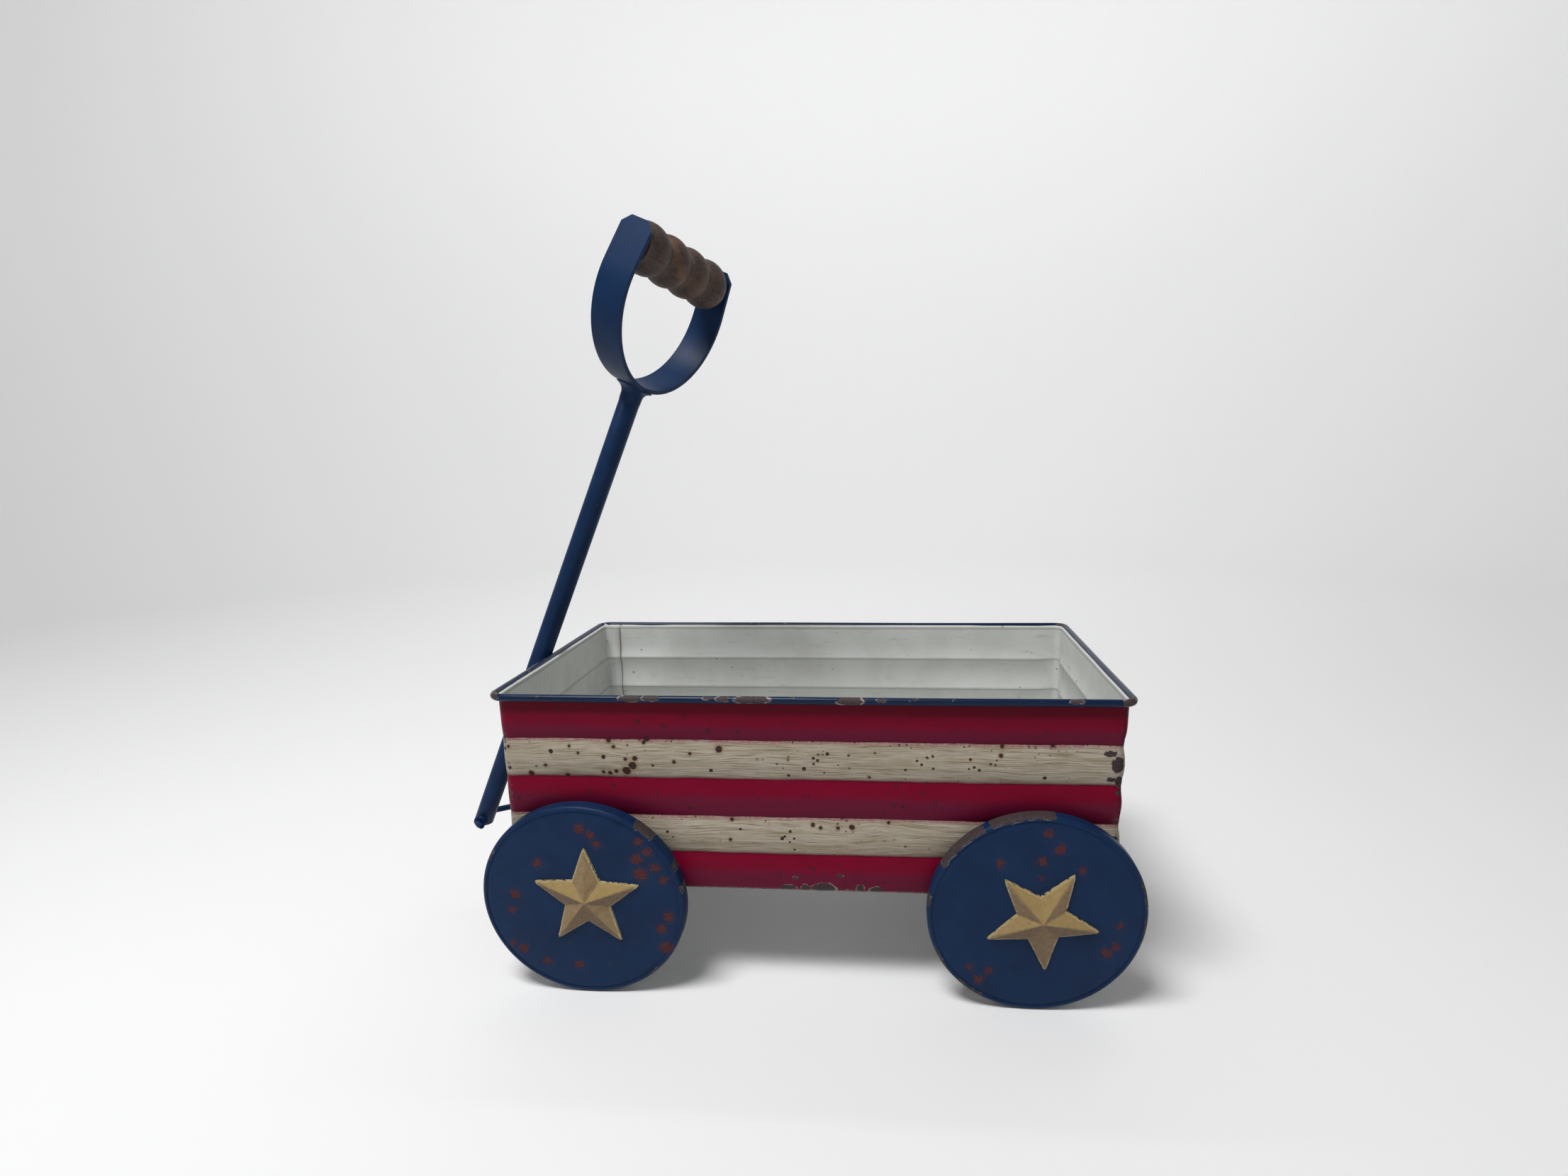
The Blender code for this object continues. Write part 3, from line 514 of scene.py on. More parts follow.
def gold_paint(colours, sizes, name, seed, turned_by):
    """Antique gold on a raised star, chipped along its outline and scratched, with painted shade on facets
    that face down at rest and a painted highlight on those that face up; both turn with the wheel.
    """
    finish = Finish(name, metallic=0.25, specular=0.4)
    places = finish.scaled(finish.places, 1.0 / MM)
    x, y, _ = finish.axes(places)
    sown = finish.moved(places, (seed, -seed, seed))
    far = finish.vector("LENGTH", finish.joined(x, y, 0.0), output="Value")
    folded = abs((y.math("ARCTAN2", x) + math.pi / 5) % (math.tau / 5) - math.pi / 5)
    normal, reach = star_edge(sizes)
    across = far * (folded.math("COSINE") * normal[0] + folded.math("SINE") * normal[1]) - reach / MM
    mottle = finish.noise(sown, 0.35, 5.0, 0.65)
    fine = finish.noise(sown, 1.6, 4.0, 0.6)
    paint = finish.mix(mottle.rise(0.35, 0.68) * 0.7, tuple(colours.gold), tone("7c6542"))
    paint = finish.mix(fine.rise(0.58, 0.78) * 0.5, paint, tone("af9c6f"))
    paint = finish.mix(fine.rise(0.42, 0.28) * 0.5, paint, tone("635037"))
    pale = (across + (mottle - 0.5) * 3.2).rise(-0.75, -0.25)
    paint = finish.mix(pale * 0.75, paint, tone("b7ac88"))
    scratch = finish.noise(finish.scaled(sown, (0.34, 1.9, 1.0)), 1.0, 2.0, 0.4, 0.6)
    scratch = scratch.rise(0.735, 0.76)
    cracks = finish.noise(finish.scaled(sown, (1.7, 0.4, 1.0)), 1.0, 2.0, 0.4, 0.6).rise(0.745, 0.77)
    paint = finish.mix(scratch.most(cracks) * 0.9, paint, tone("261c19"))
    # Painted shade and highlight: facets that face down at rest turn mauve, those that face up turn lighter.
    upward = (math.sin(turned_by), math.cos(turned_by), 0.0)
    painted_light_facing = finish.node("ShaderNodeTexCoord", output="Normal")
    painted_light_facing = finish.vector("DOT_PRODUCT", painted_light_facing, upward, output="Value")
    paint = finish.mix((painted_light_facing + (mottle - 0.5) * 0.2).rise(0.02, -0.26) * 0.55, paint, tone("54403a"))
    paint = finish.mix(painted_light_facing.rise(0.12, 0.40) * 0.45, paint, tone("b79c5c"))
    under = (across + (finish.noise(sown, 0.5, 4.0, 0.65) - 0.5) * 4.6).rise(0.25, 0.45)
    paint = finish.mix(under, paint, tuple(colours.navy))
    finish.set(base_color=paint, roughness=0.46 + mottle * 0.2)
    finish.bump(mottle * 0.8 + fine * 0.25 - scratch * 0.6 - under * 0.4, 0.00022)
    return finish.material


def dark_steel(colours):
    """Oiled steel with a bloom of rust, for what is out of sight under the box."""
    finish = Finish("dark_steel", metallic=0.85)
    places = finish.scaled(finish.places, 1.0 / MM)
    cloud = finish.noise(places, 0.12, 5.0, 0.65)
    fine = finish.noise(places, 1.3, 4.0, 0.6)
    bloom = cloud.rise(0.56, 0.74)
    metal = finish.mix(fine.rise(0.4, 0.7), tuple(colours.steel), tone("504e4e"))
    finish.set(base_color=finish.mix(bloom * 0.8, metal, tone("512f21")), metallic=0.85 - bloom * 0.7)
    finish.set(roughness=0.42 + bloom * 0.4 + fine * 0.1)
    finish.bump(fine * 0.4 + bloom * 0.6, 0.00012)
    return finish.material


def bead_wood(colours, name, seed, warm):
    """Dark stained wood turned round Z, rubbed grey where the beads meet."""
    finish = Finish(name, specular=0.35)
    places = finish.scaled(finish.places, 1.0 / MM)
    sown = finish.moved(places, (seed, 3.0 * seed, 0.0))
    _, _, along = finish.axes(places)
    grain = finish.noise(finish.scaled(sown, (0.9, 0.9, 0.10)), 1.0, 6.0, 0.65, 0.4)
    pores = finish.noise(finish.scaled(sown, (3.6, 3.6, 0.35)), 1.0, 3.0, 0.6)
    cloud = finish.noise(sown, 0.09, 3.0)
    wood = finish.mix(grain.rise(0.36, 0.66), tone("332825"), tuple(colours.wood))
    wood = finish.mix(cloud.rise(0.45, 0.66) * warm, wood, tone("6d4931"))
    wood = finish.mix(pores.rise(0.42, 0.30) * 0.6, wood, tone("1f1715"))
    rub = abs(along).rise(6.2, 9.4) * (0.45 + grain * 0.6)
    wood = finish.mix(rub * 0.5, wood, tone("635b56"))
    chalk = finish.noise(finish.moved(sown, (0.0, 9.0, 4.0)), 0.35, 5.0, 0.7).rise(0.68, 0.8)
    wood = finish.mix(chalk * 0.5, wood, tone("948d87"))
    finish.set(base_color=wood, roughness=0.50 + pores * 0.2)
    finish.bump(grain * 0.5 + pores * 0.5, 0.00014)
    return finish.material


# Places of the larger marks, in millimetres on the box's left side: along from its middle, up from
# the walls' lower edge, then half sizes.
SPLATTER_MM = (
    (-101.0, 83.5, 1.1), (-98.5, 80.0, 0.7), (-81.0, 84.5, 1.3), (-82.5, 82.5, 0.8), (-67.5, 85.0, 0.8),
    (-87.5, 74.0, 1.1), (-89.0, 70.0, 1.7), (-92.5, 67.0, 1.8), (-92.5, 73.5, 0.7), (-98.0, 66.5, 0.8),
    (-101.5, 65.5, 0.9), (-105.0, 66.0, 0.7), (-100.5, 59.0, 1.0), (-113.0, 55.0, 1.0), (-152.0, 51.0, 0.8),
    (-144.0, 64.5, 1.2), (-124.5, 63.5, 1.0), (-43.5, 79.5, 1.4), (-67.0, 72.5, 0.7), (-58.5, 77.0, 0.6),
    (-48.5, 89.5, 1.2), (-33.5, 89.0, 1.0), (-84.5, 94.0, 1.3), (-71.5, 92.0, 1.1), (-122.0, 80.0, 0.5),
    (-117.5, 76.5, 0.5), (-135.5, 69.5, 0.6), (-154.5, 79.5, 0.6), (-77.5, 54.5, 0.6), (-38.5, 40.5, 0.8),
    (46.5, 60.5, 0.9), (46.0, 51.0, 1.0), (50.0, 50.0, 0.9), (41.0, 46.0, 0.7), (43.0, 40.5, 0.7),
    (33.0, 65.5, 0.5), (4.0, 38.5, 0.9), (8.0, 37.0, 0.7), (17.0, 37.0, 0.7), (24.5, 37.5, 1.0),
    (98.5, 83.0, 0.8), (98.0, 78.5, 0.8), (123.0, 84.0, 0.9), (119.0, 91.0, 0.6), (-39.5, 29.5, 0.7),
)
# Where the finest drops lie thick: the same, then the reach.
SPRAY_MM = ((-90.0, 82.0, 6.5), (-82.0, 83.0, 4.5), (-93.0, 69.0, 4.0), (20.0, 38.0, 7.0), (118.0, 80.0, 6.0))
SIDE_CHIPS_MM = (
    (-9.8, 1.2, 4.6, 2.2), (-0.5, 1.4, 2.4, 2.6), (9.0, 1.8, 6.2, 3.4), (28.6, 2.2, 2.0, 2.6),
    (37.0, 1.2, 3.6, 2.4), (-5.6, 7.9, 1.5, 1.2), (17.8, 10.0, 1.9, 0.9), (22.0, 0.4, 1.6, 0.8),
    (151.0, 80.0, 3.4, 1.6), (154.5, 74.5, 3.2, 4.2), (152.0, 66.5, 2.2, 1.3), (155.5, 66.0, 1.6, 3.0),
)
RIM_CHIPS_MM = (
    (-86.6, 0.6, 5.4, 1.6), (-76.0, 0.8, 4.4, 1.3), (-47.0, 1.2, 2.4, 0.8), (-39.5, 0.8, 3.2, 1.2),
    (-24.8, 0.5, 8.4, 1.9), (23.6, 0.3, 6.2, 2.2), (39.0, 0.9, 2.4, 0.9), (132.0, 1.0, 3.0, 0.9),
    (157.0, 0.6, 3.6, 1.6), (-157.5, 0.8, 2.4, 1.2),
)
# Marks on the left wheels' faces, in millimetres from the middle: across, up, half size.
RUST_MM = {
    "front": (
        (2.1, 42.5, 2.0), (7.5, 39.3, 1.8), (10.3, 34.2, 1.6), (-22.3, 22.4, 1.9), (-37.0, 3.8, 2.1),
        (-39.3, -5.3, 1.5), (-35.7, -28.8, 2.1), (-41.6, -25.8, 1.3), (-22.7, -36.4, 1.8),
        (-5.5, -37.7, 1.8), (31.1, 26.6, 2.4), (32.5, 17.6, 3.0), (37.3, 30.8, 2.0), (40.4, 21.6, 2.1),
        (44.5, 14.5, 1.7), (45.8, -7.0, 2.2), (41.5, -14.2, 2.2), (43.9, -25.6, 2.8), (32.4, 36.0, 1.6),
    ),
    "rear": (
        (-19.4, 29.2, 1.7), (1.0, 31.1, 1.8), (1.1, 21.8, 1.1), (2.9, 46.1, 1.9), (9.3, 38.0, 2.1),
        (20.6, 26.6, 1.5), (36.2, -19.6, 2.2), (40.2, -15.0, 1.8), (-27.4, -37.3, 1.8),
        (-22.6, -32.0, 1.5), (-32.8, -30.6, 1.3), (41.5, -3.5, 1.3),
    ),
}
# How far the stars sit from the middle of their wheels.
STAR_SET_OFF = {"front": (0.0030, 0.0028, 0.0), "rear": (0.0026, -0.0010, 0.0)}
# Bare stretches of the left wheels' lips: from and to in degrees round from +X, then half width.
LIP_WEAR = {
    "front": ((44, 55, 1.0), (21, 25, 0.5), (8, 11, 0.5), (-52, -42, 0.9), (-97, -88, 0.7), (148, 153, 0.8)),
    "rear": ((84, 116, 1.0), (122, 150, 1.2), (103, 109, 1.7), (8, 24, 0.9), (-14, 0, 1.0),
             (-134, -120, 1.7), (-158, -147, 1.0), (170, 175, 0.7)),
}


def wheel_marks(end, side, radius_mm):
    """Two functions that place a wheel's rust spots and the bare stretches of its lip."""
    turned = 0.0 if side == "left" else (67.0 if end == "front" else 151.0)
    angle = math.radians(turned)
    spots = []
    for x, y, size in RUST_MM[end]:
        across = x * math.cos(angle) - y * math.sin(angle)
        up = x * math.sin(angle) + y * math.cos(angle)
        spots.append((across, up, 0.0, 1.25 * size, 1.25 * size, 1000.0))
    worn = []
    for start, stop, width in LIP_WEAR[end]:
        count = max(1, round(math.radians(stop - start) * radius_mm / (1.4 * width)))
        for step in range(count + 1):
            at = math.radians(start + (stop - start) * step / count + turned)
            reach = radius_mm - 0.4
            worn.append((reach * math.cos(at), reach * math.sin(at), 0.0, width, width, 1000.0))

    def rusty(finish, places):
        return finish.nearest(finish.wander(places, 1.6, 3.0, 4.0), spots)

    def gone(finish, places):
        return finish.nearest(finish.wander(places, 1.5, 2.6, 4.0), worn)

    return rusty, gone


# Mesh work


def mesh_piece(name, rows, round_rows=False, round_columns=False, sharp=40.0, closed_ends=False):
    """A mesh through rows of points. Rows and columns may each join up into rings."""
    bm = bmesh.new()
    grid = [[bm.verts.new(point) for point in row] for row in rows]
    row_pairs = list(zip(grid, grid[1:]))
    if round_rows:
        row_pairs.append((grid[-1], grid[0]))
    for first, second in row_pairs:
        count = len(first)
        for column in range(count if round_columns else count - 1):
            after = (column + 1) % count
            bm.faces.new((first[column], first[after], second[after], second[column]))
    if closed_ends:
        bm.faces.new(reversed(grid[0]))
        bm.faces.new(grid[-1])
    bmesh.ops.remove_doubles(bm, verts=bm.verts, dist=1e-6)
    bmesh.ops.recalc_face_normals(bm, faces=bm.faces)
    mesh = bpy.data.meshes.new(name)
    bm.to_mesh(mesh)
    bm.free()
    mesh.shade_smooth()
    mesh.set_sharp_from_angle(angle=math.radians(sharp))
    piece = bpy.data.objects.new(name, mesh)
    bpy.context.scene.collection.objects.link(piece)
    return piece


def face_out(piece, axis):
    """Turns an open sheet's faces so that the one lowest along this axis faces down it."""
    bm = bmesh.new()
    bm.from_mesh(piece.data)
    lowest = min(bm.faces, key=lambda face: face.calc_center_median()[axis])
    if lowest.normal[axis] > 0.0:
        bmesh.ops.reverse_faces(bm, faces=bm.faces)
    bm.to_mesh(piece.data)
    bm.free()


def thicken(piece, thickness, offset, inner_slot=0):
    shell = piece.modifiers.new("Sheet", "SOLIDIFY")
    shell.thickness = thickness
    shell.offset = offset
    shell.material_offset = inner_slot


def soften(piece, width, segments=2, angle=40.0):
    edge = piece.modifiers.new("Edges", "BEVEL")
    edge.width = width
    edge.segments = segments
    edge.limit_method = "ANGLE"
    edge.angle_limit = math.radians(angle)
    edge.harden_normals = True


def turned(name, profile, steps=96, sharp=40.0):
    """A piece turned about Z, from (radius, height) pairs that run round its section."""
    rows = []
    for step in range(steps):
        angle = math.tau * step / steps
        rows.append([(r * math.cos(angle), r * math.sin(angle), z) for r, z in profile])
    return mesh_piece(name, rows, True, True, sharp)


def arc(middle, radius, start, end, steps):
    """Points round an arc, both ends included, with angles in degrees."""
    points = []
    for step in range(steps + 1):
        angle = math.radians(start + (end - start) * step / steps)
        points.append((middle[0] + radius * math.cos(angle), middle[1] + radius * math.sin(angle)))
    return points


def route(start, heading, moves, step, turn_steps=8):
    """(x, y, outward x, outward y) along straight runs and right-hand turns, seen from above."""
    x, y = start
    angle = math.radians(heading)
    stations = []
    for kind, size, amount in moves:
        ahead = (math.cos(angle), math.sin(angle))
        outward = (-ahead[1], ahead[0])
        if kind == "run":
            count = max(1, round(size / step))
            for index in range(count):
                share = size * index / count
                stations.append((x + ahead[0] * share, y + ahead[1] * share, *outward))
            x, y = x + ahead[0] * size, y + ahead[1] * size
        else:
            middle = (x - outward[0] * size, y - outward[1] * size)
            for index in range(turn_steps):
                swung = angle - math.radians(amount) * index / turn_steps
                out = (-math.sin(swung), math.cos(swung))
                stations.append((middle[0] + out[0] * size, middle[1] + out[1] * size, *out))
            angle -= math.radians(amount)
            out = (-math.sin(angle), math.cos(angle))
            x, y = middle[0] + out[0] * size, middle[1] + out[1] * size
    stations.append((x, y, -math.sin(angle), math.cos(angle)))
    return stations


def finish_piece(piece, material, body, slot, *nodes):
    """Gives a piece its paint, its body and the nodes it stands for."""
    if material is not None:
        piece.data.materials.append(material)
    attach(piece, body)
    if nodes:
        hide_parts(*nodes)
    return piece


def repaint(node, material):
    piece = frame["nodes"][node]
    piece.data.materials.clear()
    piece.data.materials.append(material)


# Pieces


def rib_line(sizes):
    """(swell, outward, height) down a wall: its top flared into the rim's roll, then the ribs."""
    full = sizes.band_height * BANDS
    line = [(1.0, flare, full + up) for flare, up in ((0.0006, 0.0017), (0.0001, 0.0010))]
    for band in range(BANDS):
        top = (BANDS - band) * sizes.band_height
        for step in range(0 if band == 0 else 1, RIB_STEPS + 1):
            down = (step / RIB_STEPS) ** 1.1
            swell = math.sin(math.pi * down**1.1) ** 0.8 if step < RIB_STEPS else 0.0
            if band == 0 and down < 0.5:
                swell = 1.0
            line.append((swell, 0.0, top - down * sizes.band_height))
    return line


def body_sheet(sizes, name, node, half_turn, paint, inner):
    """A ribbed sheet that makes one long side and one end, with the joining tab past its fold."""
    wall_x = (PAN_HIGH.x - PAN_LOW.x) / 2 + sizes.sheet + sizes.sheet_gap
    wall_y = PAN_HIGH.y + sizes.sheet + sizes.sheet_gap
    tab_line = wall_y - sizes.sheet - sizes.sheet_gap
    moves = [
        ("run", 2 * wall_x - FOLD_RADIUS, 0.0),
        ("turn", FOLD_RADIUS, 90.0),
        ("run", tab_line - TAB_BEND_RADIUS + wall_y - FOLD_RADIUS, 0.0),
        ("turn", TAB_BEND_RADIUS, 90.0),
        ("run", TAB_WIDTH, 0.0),
    ]
    stations = route((wall_x, -wall_y), 180.0, moves, 0.004)
    line = rib_line(sizes)
    full = BANDS * sizes.band_height
    rows = []
    walked = 0.0
    for index, (x, y, out_x, out_y) in enumerate(stations):
        if index:
            walked += math.hypot(x - stations[index - 1][0], y - stations[index - 1][1])
        row = []
        ease = min(1.0, walked / 0.02, abs(2 * wall_x - walked) / 0.015)
        in_tab = index >= len(stations) - 2
        filled = math.exp(-(((walked - 2 * wall_x) / 0.007) ** 2))
        for swell, flare, height in line:
            sway = noise.noise(Vector((walked * 14.0 + half_turn, height * 30.0, 0.0)))
            ripple = noise.noise(Vector((walked * 55.0, height * 60.0, 5.0 + half_turn)))
            away = sizes.bulge * (swell + 0.8 * filled * (1.0 - swell)) + flare
            away += ease * sizes.dent * (sway + 0.35 * ripple) * (0.4 + swell)
            if in_tab and height > full:
                height = full + (height - full) * 0.02
            lean = sizes.spread * (1.0 - height / full) * x / wall_x
            row.append((x + out_x * away + lean, y + out_y * away, height))
        rows.append(row)
    piece = mesh_piece(name, rows, sharp=24.0)
    face_out(piece, 1)
    thicken(piece, sizes.sheet, -1.0, 1)
    piece.location = (MIDDLE_X, 0.0, BOX_BOTTOM)
    piece.rotation_euler = (0.0, 0.0, half_turn)
    piece.data.materials.append(paint)
    return finish_piece(piece, inner, "bed", "striped_paint", node)


def rolled_rim(sizes, paint):
    """The strip that is rolled over the wire and down inside the walls."""
    roll = RIM_WIRE_RADIUS + sizes.sheet_gap + RIM_STRIP / 2
    line = arc((0.0, 0.0), roll, 208.0, -140.0, 40)
    length_run = 2 * (RIM_HALF[0] - RIM_CORNER_RADIUS)
    width_run = 2 * (RIM_HALF[1] - RIM_CORNER_RADIUS)
    moves = []
    for run in (length_run, width_run, length_run, width_run):
        moves += [("run", run, 0.0), ("turn", RIM_CORNER_RADIUS, 90.0)]
    stations = route((RIM_HALF[0] - RIM_CORNER_RADIUS, -RIM_HALF[1]), 180.0, moves, 0.005)[:-1]
    rows = []
    for x, y, out_x, out_y in stations:
        sway = noise.noise(Vector((x * 12.0, y * 12.0, 0.0))) * 0.0003
        lift = noise.noise(Vector((x * 9.0, y * 9.0, 7.0))) * 0.0003
        rows.append([(x + out_x * (out + sway), y + out_y * (out + sway), up + lift) for out, up in line])
    piece = mesh_piece("rolled_rim", rows, round_rows=True, sharp=50.0)
    thicken(piece, RIM_STRIP, 0.0)
    piece.location = (MIDDLE_X, 0.0, RIM_CENTRE_Z)
    return finish_piece(piece, paint, "bed", "navy_paint", "rim_roll")


def star_edge(sizes):
    """The outward normal of a star's edge, and its distance, with a tip on the first axis."""
    tip = Vector((sizes.star_tip + 0.0012, 0.0))
    notch = Vector((math.cos(math.pi / 5), math.sin(math.pi / 5))) * sizes.star_notch
    along = notch - tip
    normal = Vector((-along.y, along.x)).normalized()
    if normal.dot(tip) < 0.0:
        normal = -normal
    return normal, normal.dot(tip)


def star_radius(sizes, angle):
    """How far the star reaches in a direction. Its tips are cut blunt."""
    folded = abs((angle + math.pi / 5) % (math.tau / 5) - math.pi / 5)
    normal, reach = star_edge(sizes)
    edge = reach / (normal.x * math.cos(folded) + normal.y * math.sin(folded))
    return min(edge, sizes.star_tip / math.cos(folded))


def star_height(sizes, x, y):
    """The height of a five-ridged star, rounded a little along its ridges and valleys."""
    total = 0.0
    for step in range(9):
        angle = math.tau * step / 8
        blur = STAR_BLUR if step < 8 else 0.0
        px, py = x + blur * math.cos(angle), y + blur * math.sin(angle)
        share = math.hypot(px, py) / star_radius(sizes, math.atan2(py, px))
        total += STAR_EDGE + (sizes.star_peak - STAR_EDGE) * max(0.0, 1.0 - share)
    return total / 9


def star_piece(sizes, name, seed):
    """A raised star whose foot is sunk into the wheel's face."""
    rings = 22
    around = 200
    rows = []
    for ring in range(1, rings + 1):
        share = ring / rings
        row = []
        for step in range(around):
            angle = math.tau * step / around
            rough = 1.0 + 0.012 * noise.noise(Vector((math.cos(angle) * 9, math.sin(angle) * 9, seed)))
            radius = share * star_radius(sizes, angle) * rough
            x, y = radius * math.cos(angle), radius * math.sin(angle)
            hammered = noise.noise(Vector((x * 420.0, y * 420.0, seed))) * 0.00012
            row.append((x, y, star_height(sizes, x, y) + hammered))
        rows.append(row)
    for out, height in ((0.00012, 0.0006), (0.0003, 0.0001), (0.0006, -0.0003)):
        row = []
        for x, y, _ in rows[rings - 1]:
            grown = 1.0 + out / math.hypot(x, y)
            row.append((x * grown, y * grown, height))
        rows.append(row)
    rows.insert(0, [(0.0, 0.0, star_height(sizes, 0.0, 0.0))] * around)
    return mesh_piece(name, rows, False, True, 50.0)


def wheel_section(sizes, radius):
    """(radius, height) round a pressed disc's section, from the middle of its face."""
    lip = sizes.wheel_lip
    depth = sizes.wheel_depth
    groove = radius - lip - 0.0008
    line = [(0.0, 0.0), (radius * 0.4, 0.0), (groove - 0.0022, 0.0)]
    line += [(groove - 0.0009, -0.00012), (groove, -WHEEL_DISH), (groove + 0.0005, -WHEEL_DISH * 0.7)]
    line += arc((radius - lip, -lip), lip, 96.0, 0.0, 10)
    line += [(radius, -depth + 0.0004), (radius - 0.0003, -depth)]
    line += [(radius - WHEEL_GAUGE + 0.0002, -depth), (radius - WHEEL_GAUGE, -depth + 0.0004)]
    line += arc((radius - lip, -lip), lip - WHEEL_GAUGE, 0.0, 90.0, 6)
    line += [(0.0, -WHEEL_GAUGE - WHEEL_DISH)]
    return line


def wheel_pieces(sizes, colours, end, side):
    """One pressed wheel and its star."""
    low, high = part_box(f"wheel_{end}_{side}")
    sign = SIDES[side]
    radius = (high.z - low.z) / 2
    lip_edge = high.y if sign < 0.0 else low.y
    face = (low.x + radius, lip_edge + sign * sizes.wheel_depth, (low.z + high.z) / 2)
    quarter = math.radians(90.0 if sign < 0.0 else -90.0)
    rusty, gone = wheel_marks(end, side, radius / MM)
    seed = {"front": 13.0, "rear": 47.0}[end] + sign
    paint = navy_paint(colours, f"wheel_paint_{end}_{side}", gone, rusty, seed)
    disc = turned(f"wheel_disc_{end}_{side}", wheel_section(sizes, radius), 176, 35.0)
    disc.location = face
    disc.rotation_euler = (quarter, 0.0, 0.0)
    finish_piece(disc, paint, f"{end}_wheels", "navy_paint", f"wheel_{end}_{side}")
    star = star_piece(sizes, f"wheel_star_{end}_{side}", seed)
    turn = math.radians({"front": 89.0, "rear": -84.0}[end])
    set_off = Matrix.Translation(STAR_SET_OFF[end])
    star.matrix_world = (
        Matrix.Translation(face) @ Matrix.Rotation(quarter, 4, "X") @ set_off @ Matrix.Rotation(turn, 4, "Z")
    )
    gold = gold_paint(colours, sizes, f"star_paint_{end}_{side}", seed, turn)
    finish_piece(star, gold, f"{end}_wheels", "navy_paint")


def hook_wire(sizes, paint):
    """The wire that is the handle's pin: cut short on the left, held under the box on the right."""
    low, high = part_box("hitch_wire")
    _, sleeve_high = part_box("pivot_sleeve")
    radius = (high.z - low.z) / 2
    height = (high.z + low.z) / 2
    bend = HOOK_BEND_RADIUS
    knee = (high.x - HOOK_END_LENGTH, high.y - radius)
    pin_end = sleeve_high.y + sizes.sheet_gap
    # The leg leaves the pin's bend at the angle that carries it straight to the knee.
    angle = math.radians(45.0)
    for _ in range(40):
        start = (PIVOT.x + bend * (1 - math.sin(angle)), pin_end + bend * math.cos(angle))
        angle = math.atan2(knee[1] - start[1], knee[0] - start[0])
    bent = arc((PIVOT.x + bend, pin_end), bend, 180.0, 90.0 + math.degrees(angle), 10)
    leg = list(bent)
    for share in (0.3, 0.6, 0.95):
        leg.append(tuple(a * (1 - share) + b * share for a, b in zip(bent[-1], knee)))
    leg += [(knee[0] + 0.0006, knee[1]), (high.x, knee[1])]
    ahead = (math.cos(angle), math.sin(angle))
    tip = []
    for back, share in ((0.0012, 1.0), (0.0007, 0.96), (0.0003, 0.84), (0.0, 0.55)):
        reach = HOOK_STUB_LENGTH - back
        tip.append((bent[-1][0] + ahead[0] * reach, -bent[-1][1] - ahead[1] * reach, share))
    points = [*reversed(tip)] + [(x, -y, 1.0) for x, y in reversed(bent)] + [(x, y, 1.0) for x, y in leg]
    curve = bpy.data.curves.new("hook_hitch_wire", "CURVE")
    curve.dimensions = "3D"
    curve.bevel_depth = radius
    curve.bevel_resolution = 6
    curve.use_fill_caps = True
    spline = curve.splines.new("POLY")
    spline.points.add(len(points) - 1)
    for point, (x, y, share) in zip(spline.points, points):
        point.co = (x, y, height, 1.0)
        point.radius = share
    piece = bpy.data.objects.new("hook_hitch_wire", curve)
    bpy.context.scene.collection.objects.link(piece)
    return finish_piece(piece, paint, "bed", "navy_paint", "hitch_wire")


def handle_frame(origin, across):
    """The matrix at origin with Z up the tube and Y as near across as it can be."""
    third = TUBE_UP
    second = (across - third * across.dot(third)).normalized()
    first = second.cross(third)
    columns = Matrix((first, second, third)).transposed().to_4x4()
    return Matrix.Translation(origin) @ columns


def tube_piece(paint):
    """The pull tube: straight, with its lower end cut at an angle over the sleeve."""
    radius = TUBE_RADIUS
    below = TUBE_BELOW_PIN
    upper = tube_length()
    line = [(0.0, upper), (radius - 0.0006, upper), (radius, upper - 0.0006)]
    line += [(radius, upper * share) for share in (0.8, 0.6, 0.4, 0.2, 0.05)]
    line += [(radius, -below + 0.0012), (radius - 0.0004, -below + 0.0003), (radius - 0.0012, -below)]
    line += [(0.0, -below)]
    piece = turned("handle_tube", line, 64, 50.0)
    for vert in piece.data.vertices:
        if vert.co.z < 0.0:
            vert.co.z += 0.36 * (vert.co.x + radius) * min(1.0, -vert.co.z / below)
    piece.matrix_world = handle_frame(PIVOT, Vector((0.0, 1.0, 0.0)))
    return finish_piece(piece, paint, "handle", "navy_paint", "pull_tube")


def tube_length():
    """From the pivot up the tube to the yoke's outer bottom."""
    corners = [Vector(vert.co) for vert in frame["nodes"]["pull_tube"].data.vertices]
    return max((corner - PIVOT).dot(TUBE_UP) for corner in corners)


def sleeve_piece(paint):
    """The cross sleeve that turns on the hitch wire."""
    low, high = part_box("pivot_sleeve")
    outer = (high.z - low.z) / 2
    half = (high.y - low.y) / 2
    bore = outer - SLEEVE_WALL
    line = [(outer - 0.0004, half), (outer, half - 0.0004), (outer, -half + 0.0004), (outer - 0.0004, -half)]
    line += [(bore, -half), (bore, half)]
    piece = turned("handle_sleeve", line, 48, 50.0)
    piece.matrix_world = handle_frame(PIVOT, Vector((0.0, 1.0, 0.0))) @ Matrix.Rotation(math.pi / 2, 4, "X")
    return finish_piece(piece, paint, "handle", "navy_paint", "pivot_sleeve")


def yoke_matrix():
    """The place of the yoke's outer bottom, with Y across the grip."""
    return handle_frame(PIVOT + TUBE_UP * tube_length(), GRIP_ACROSS)


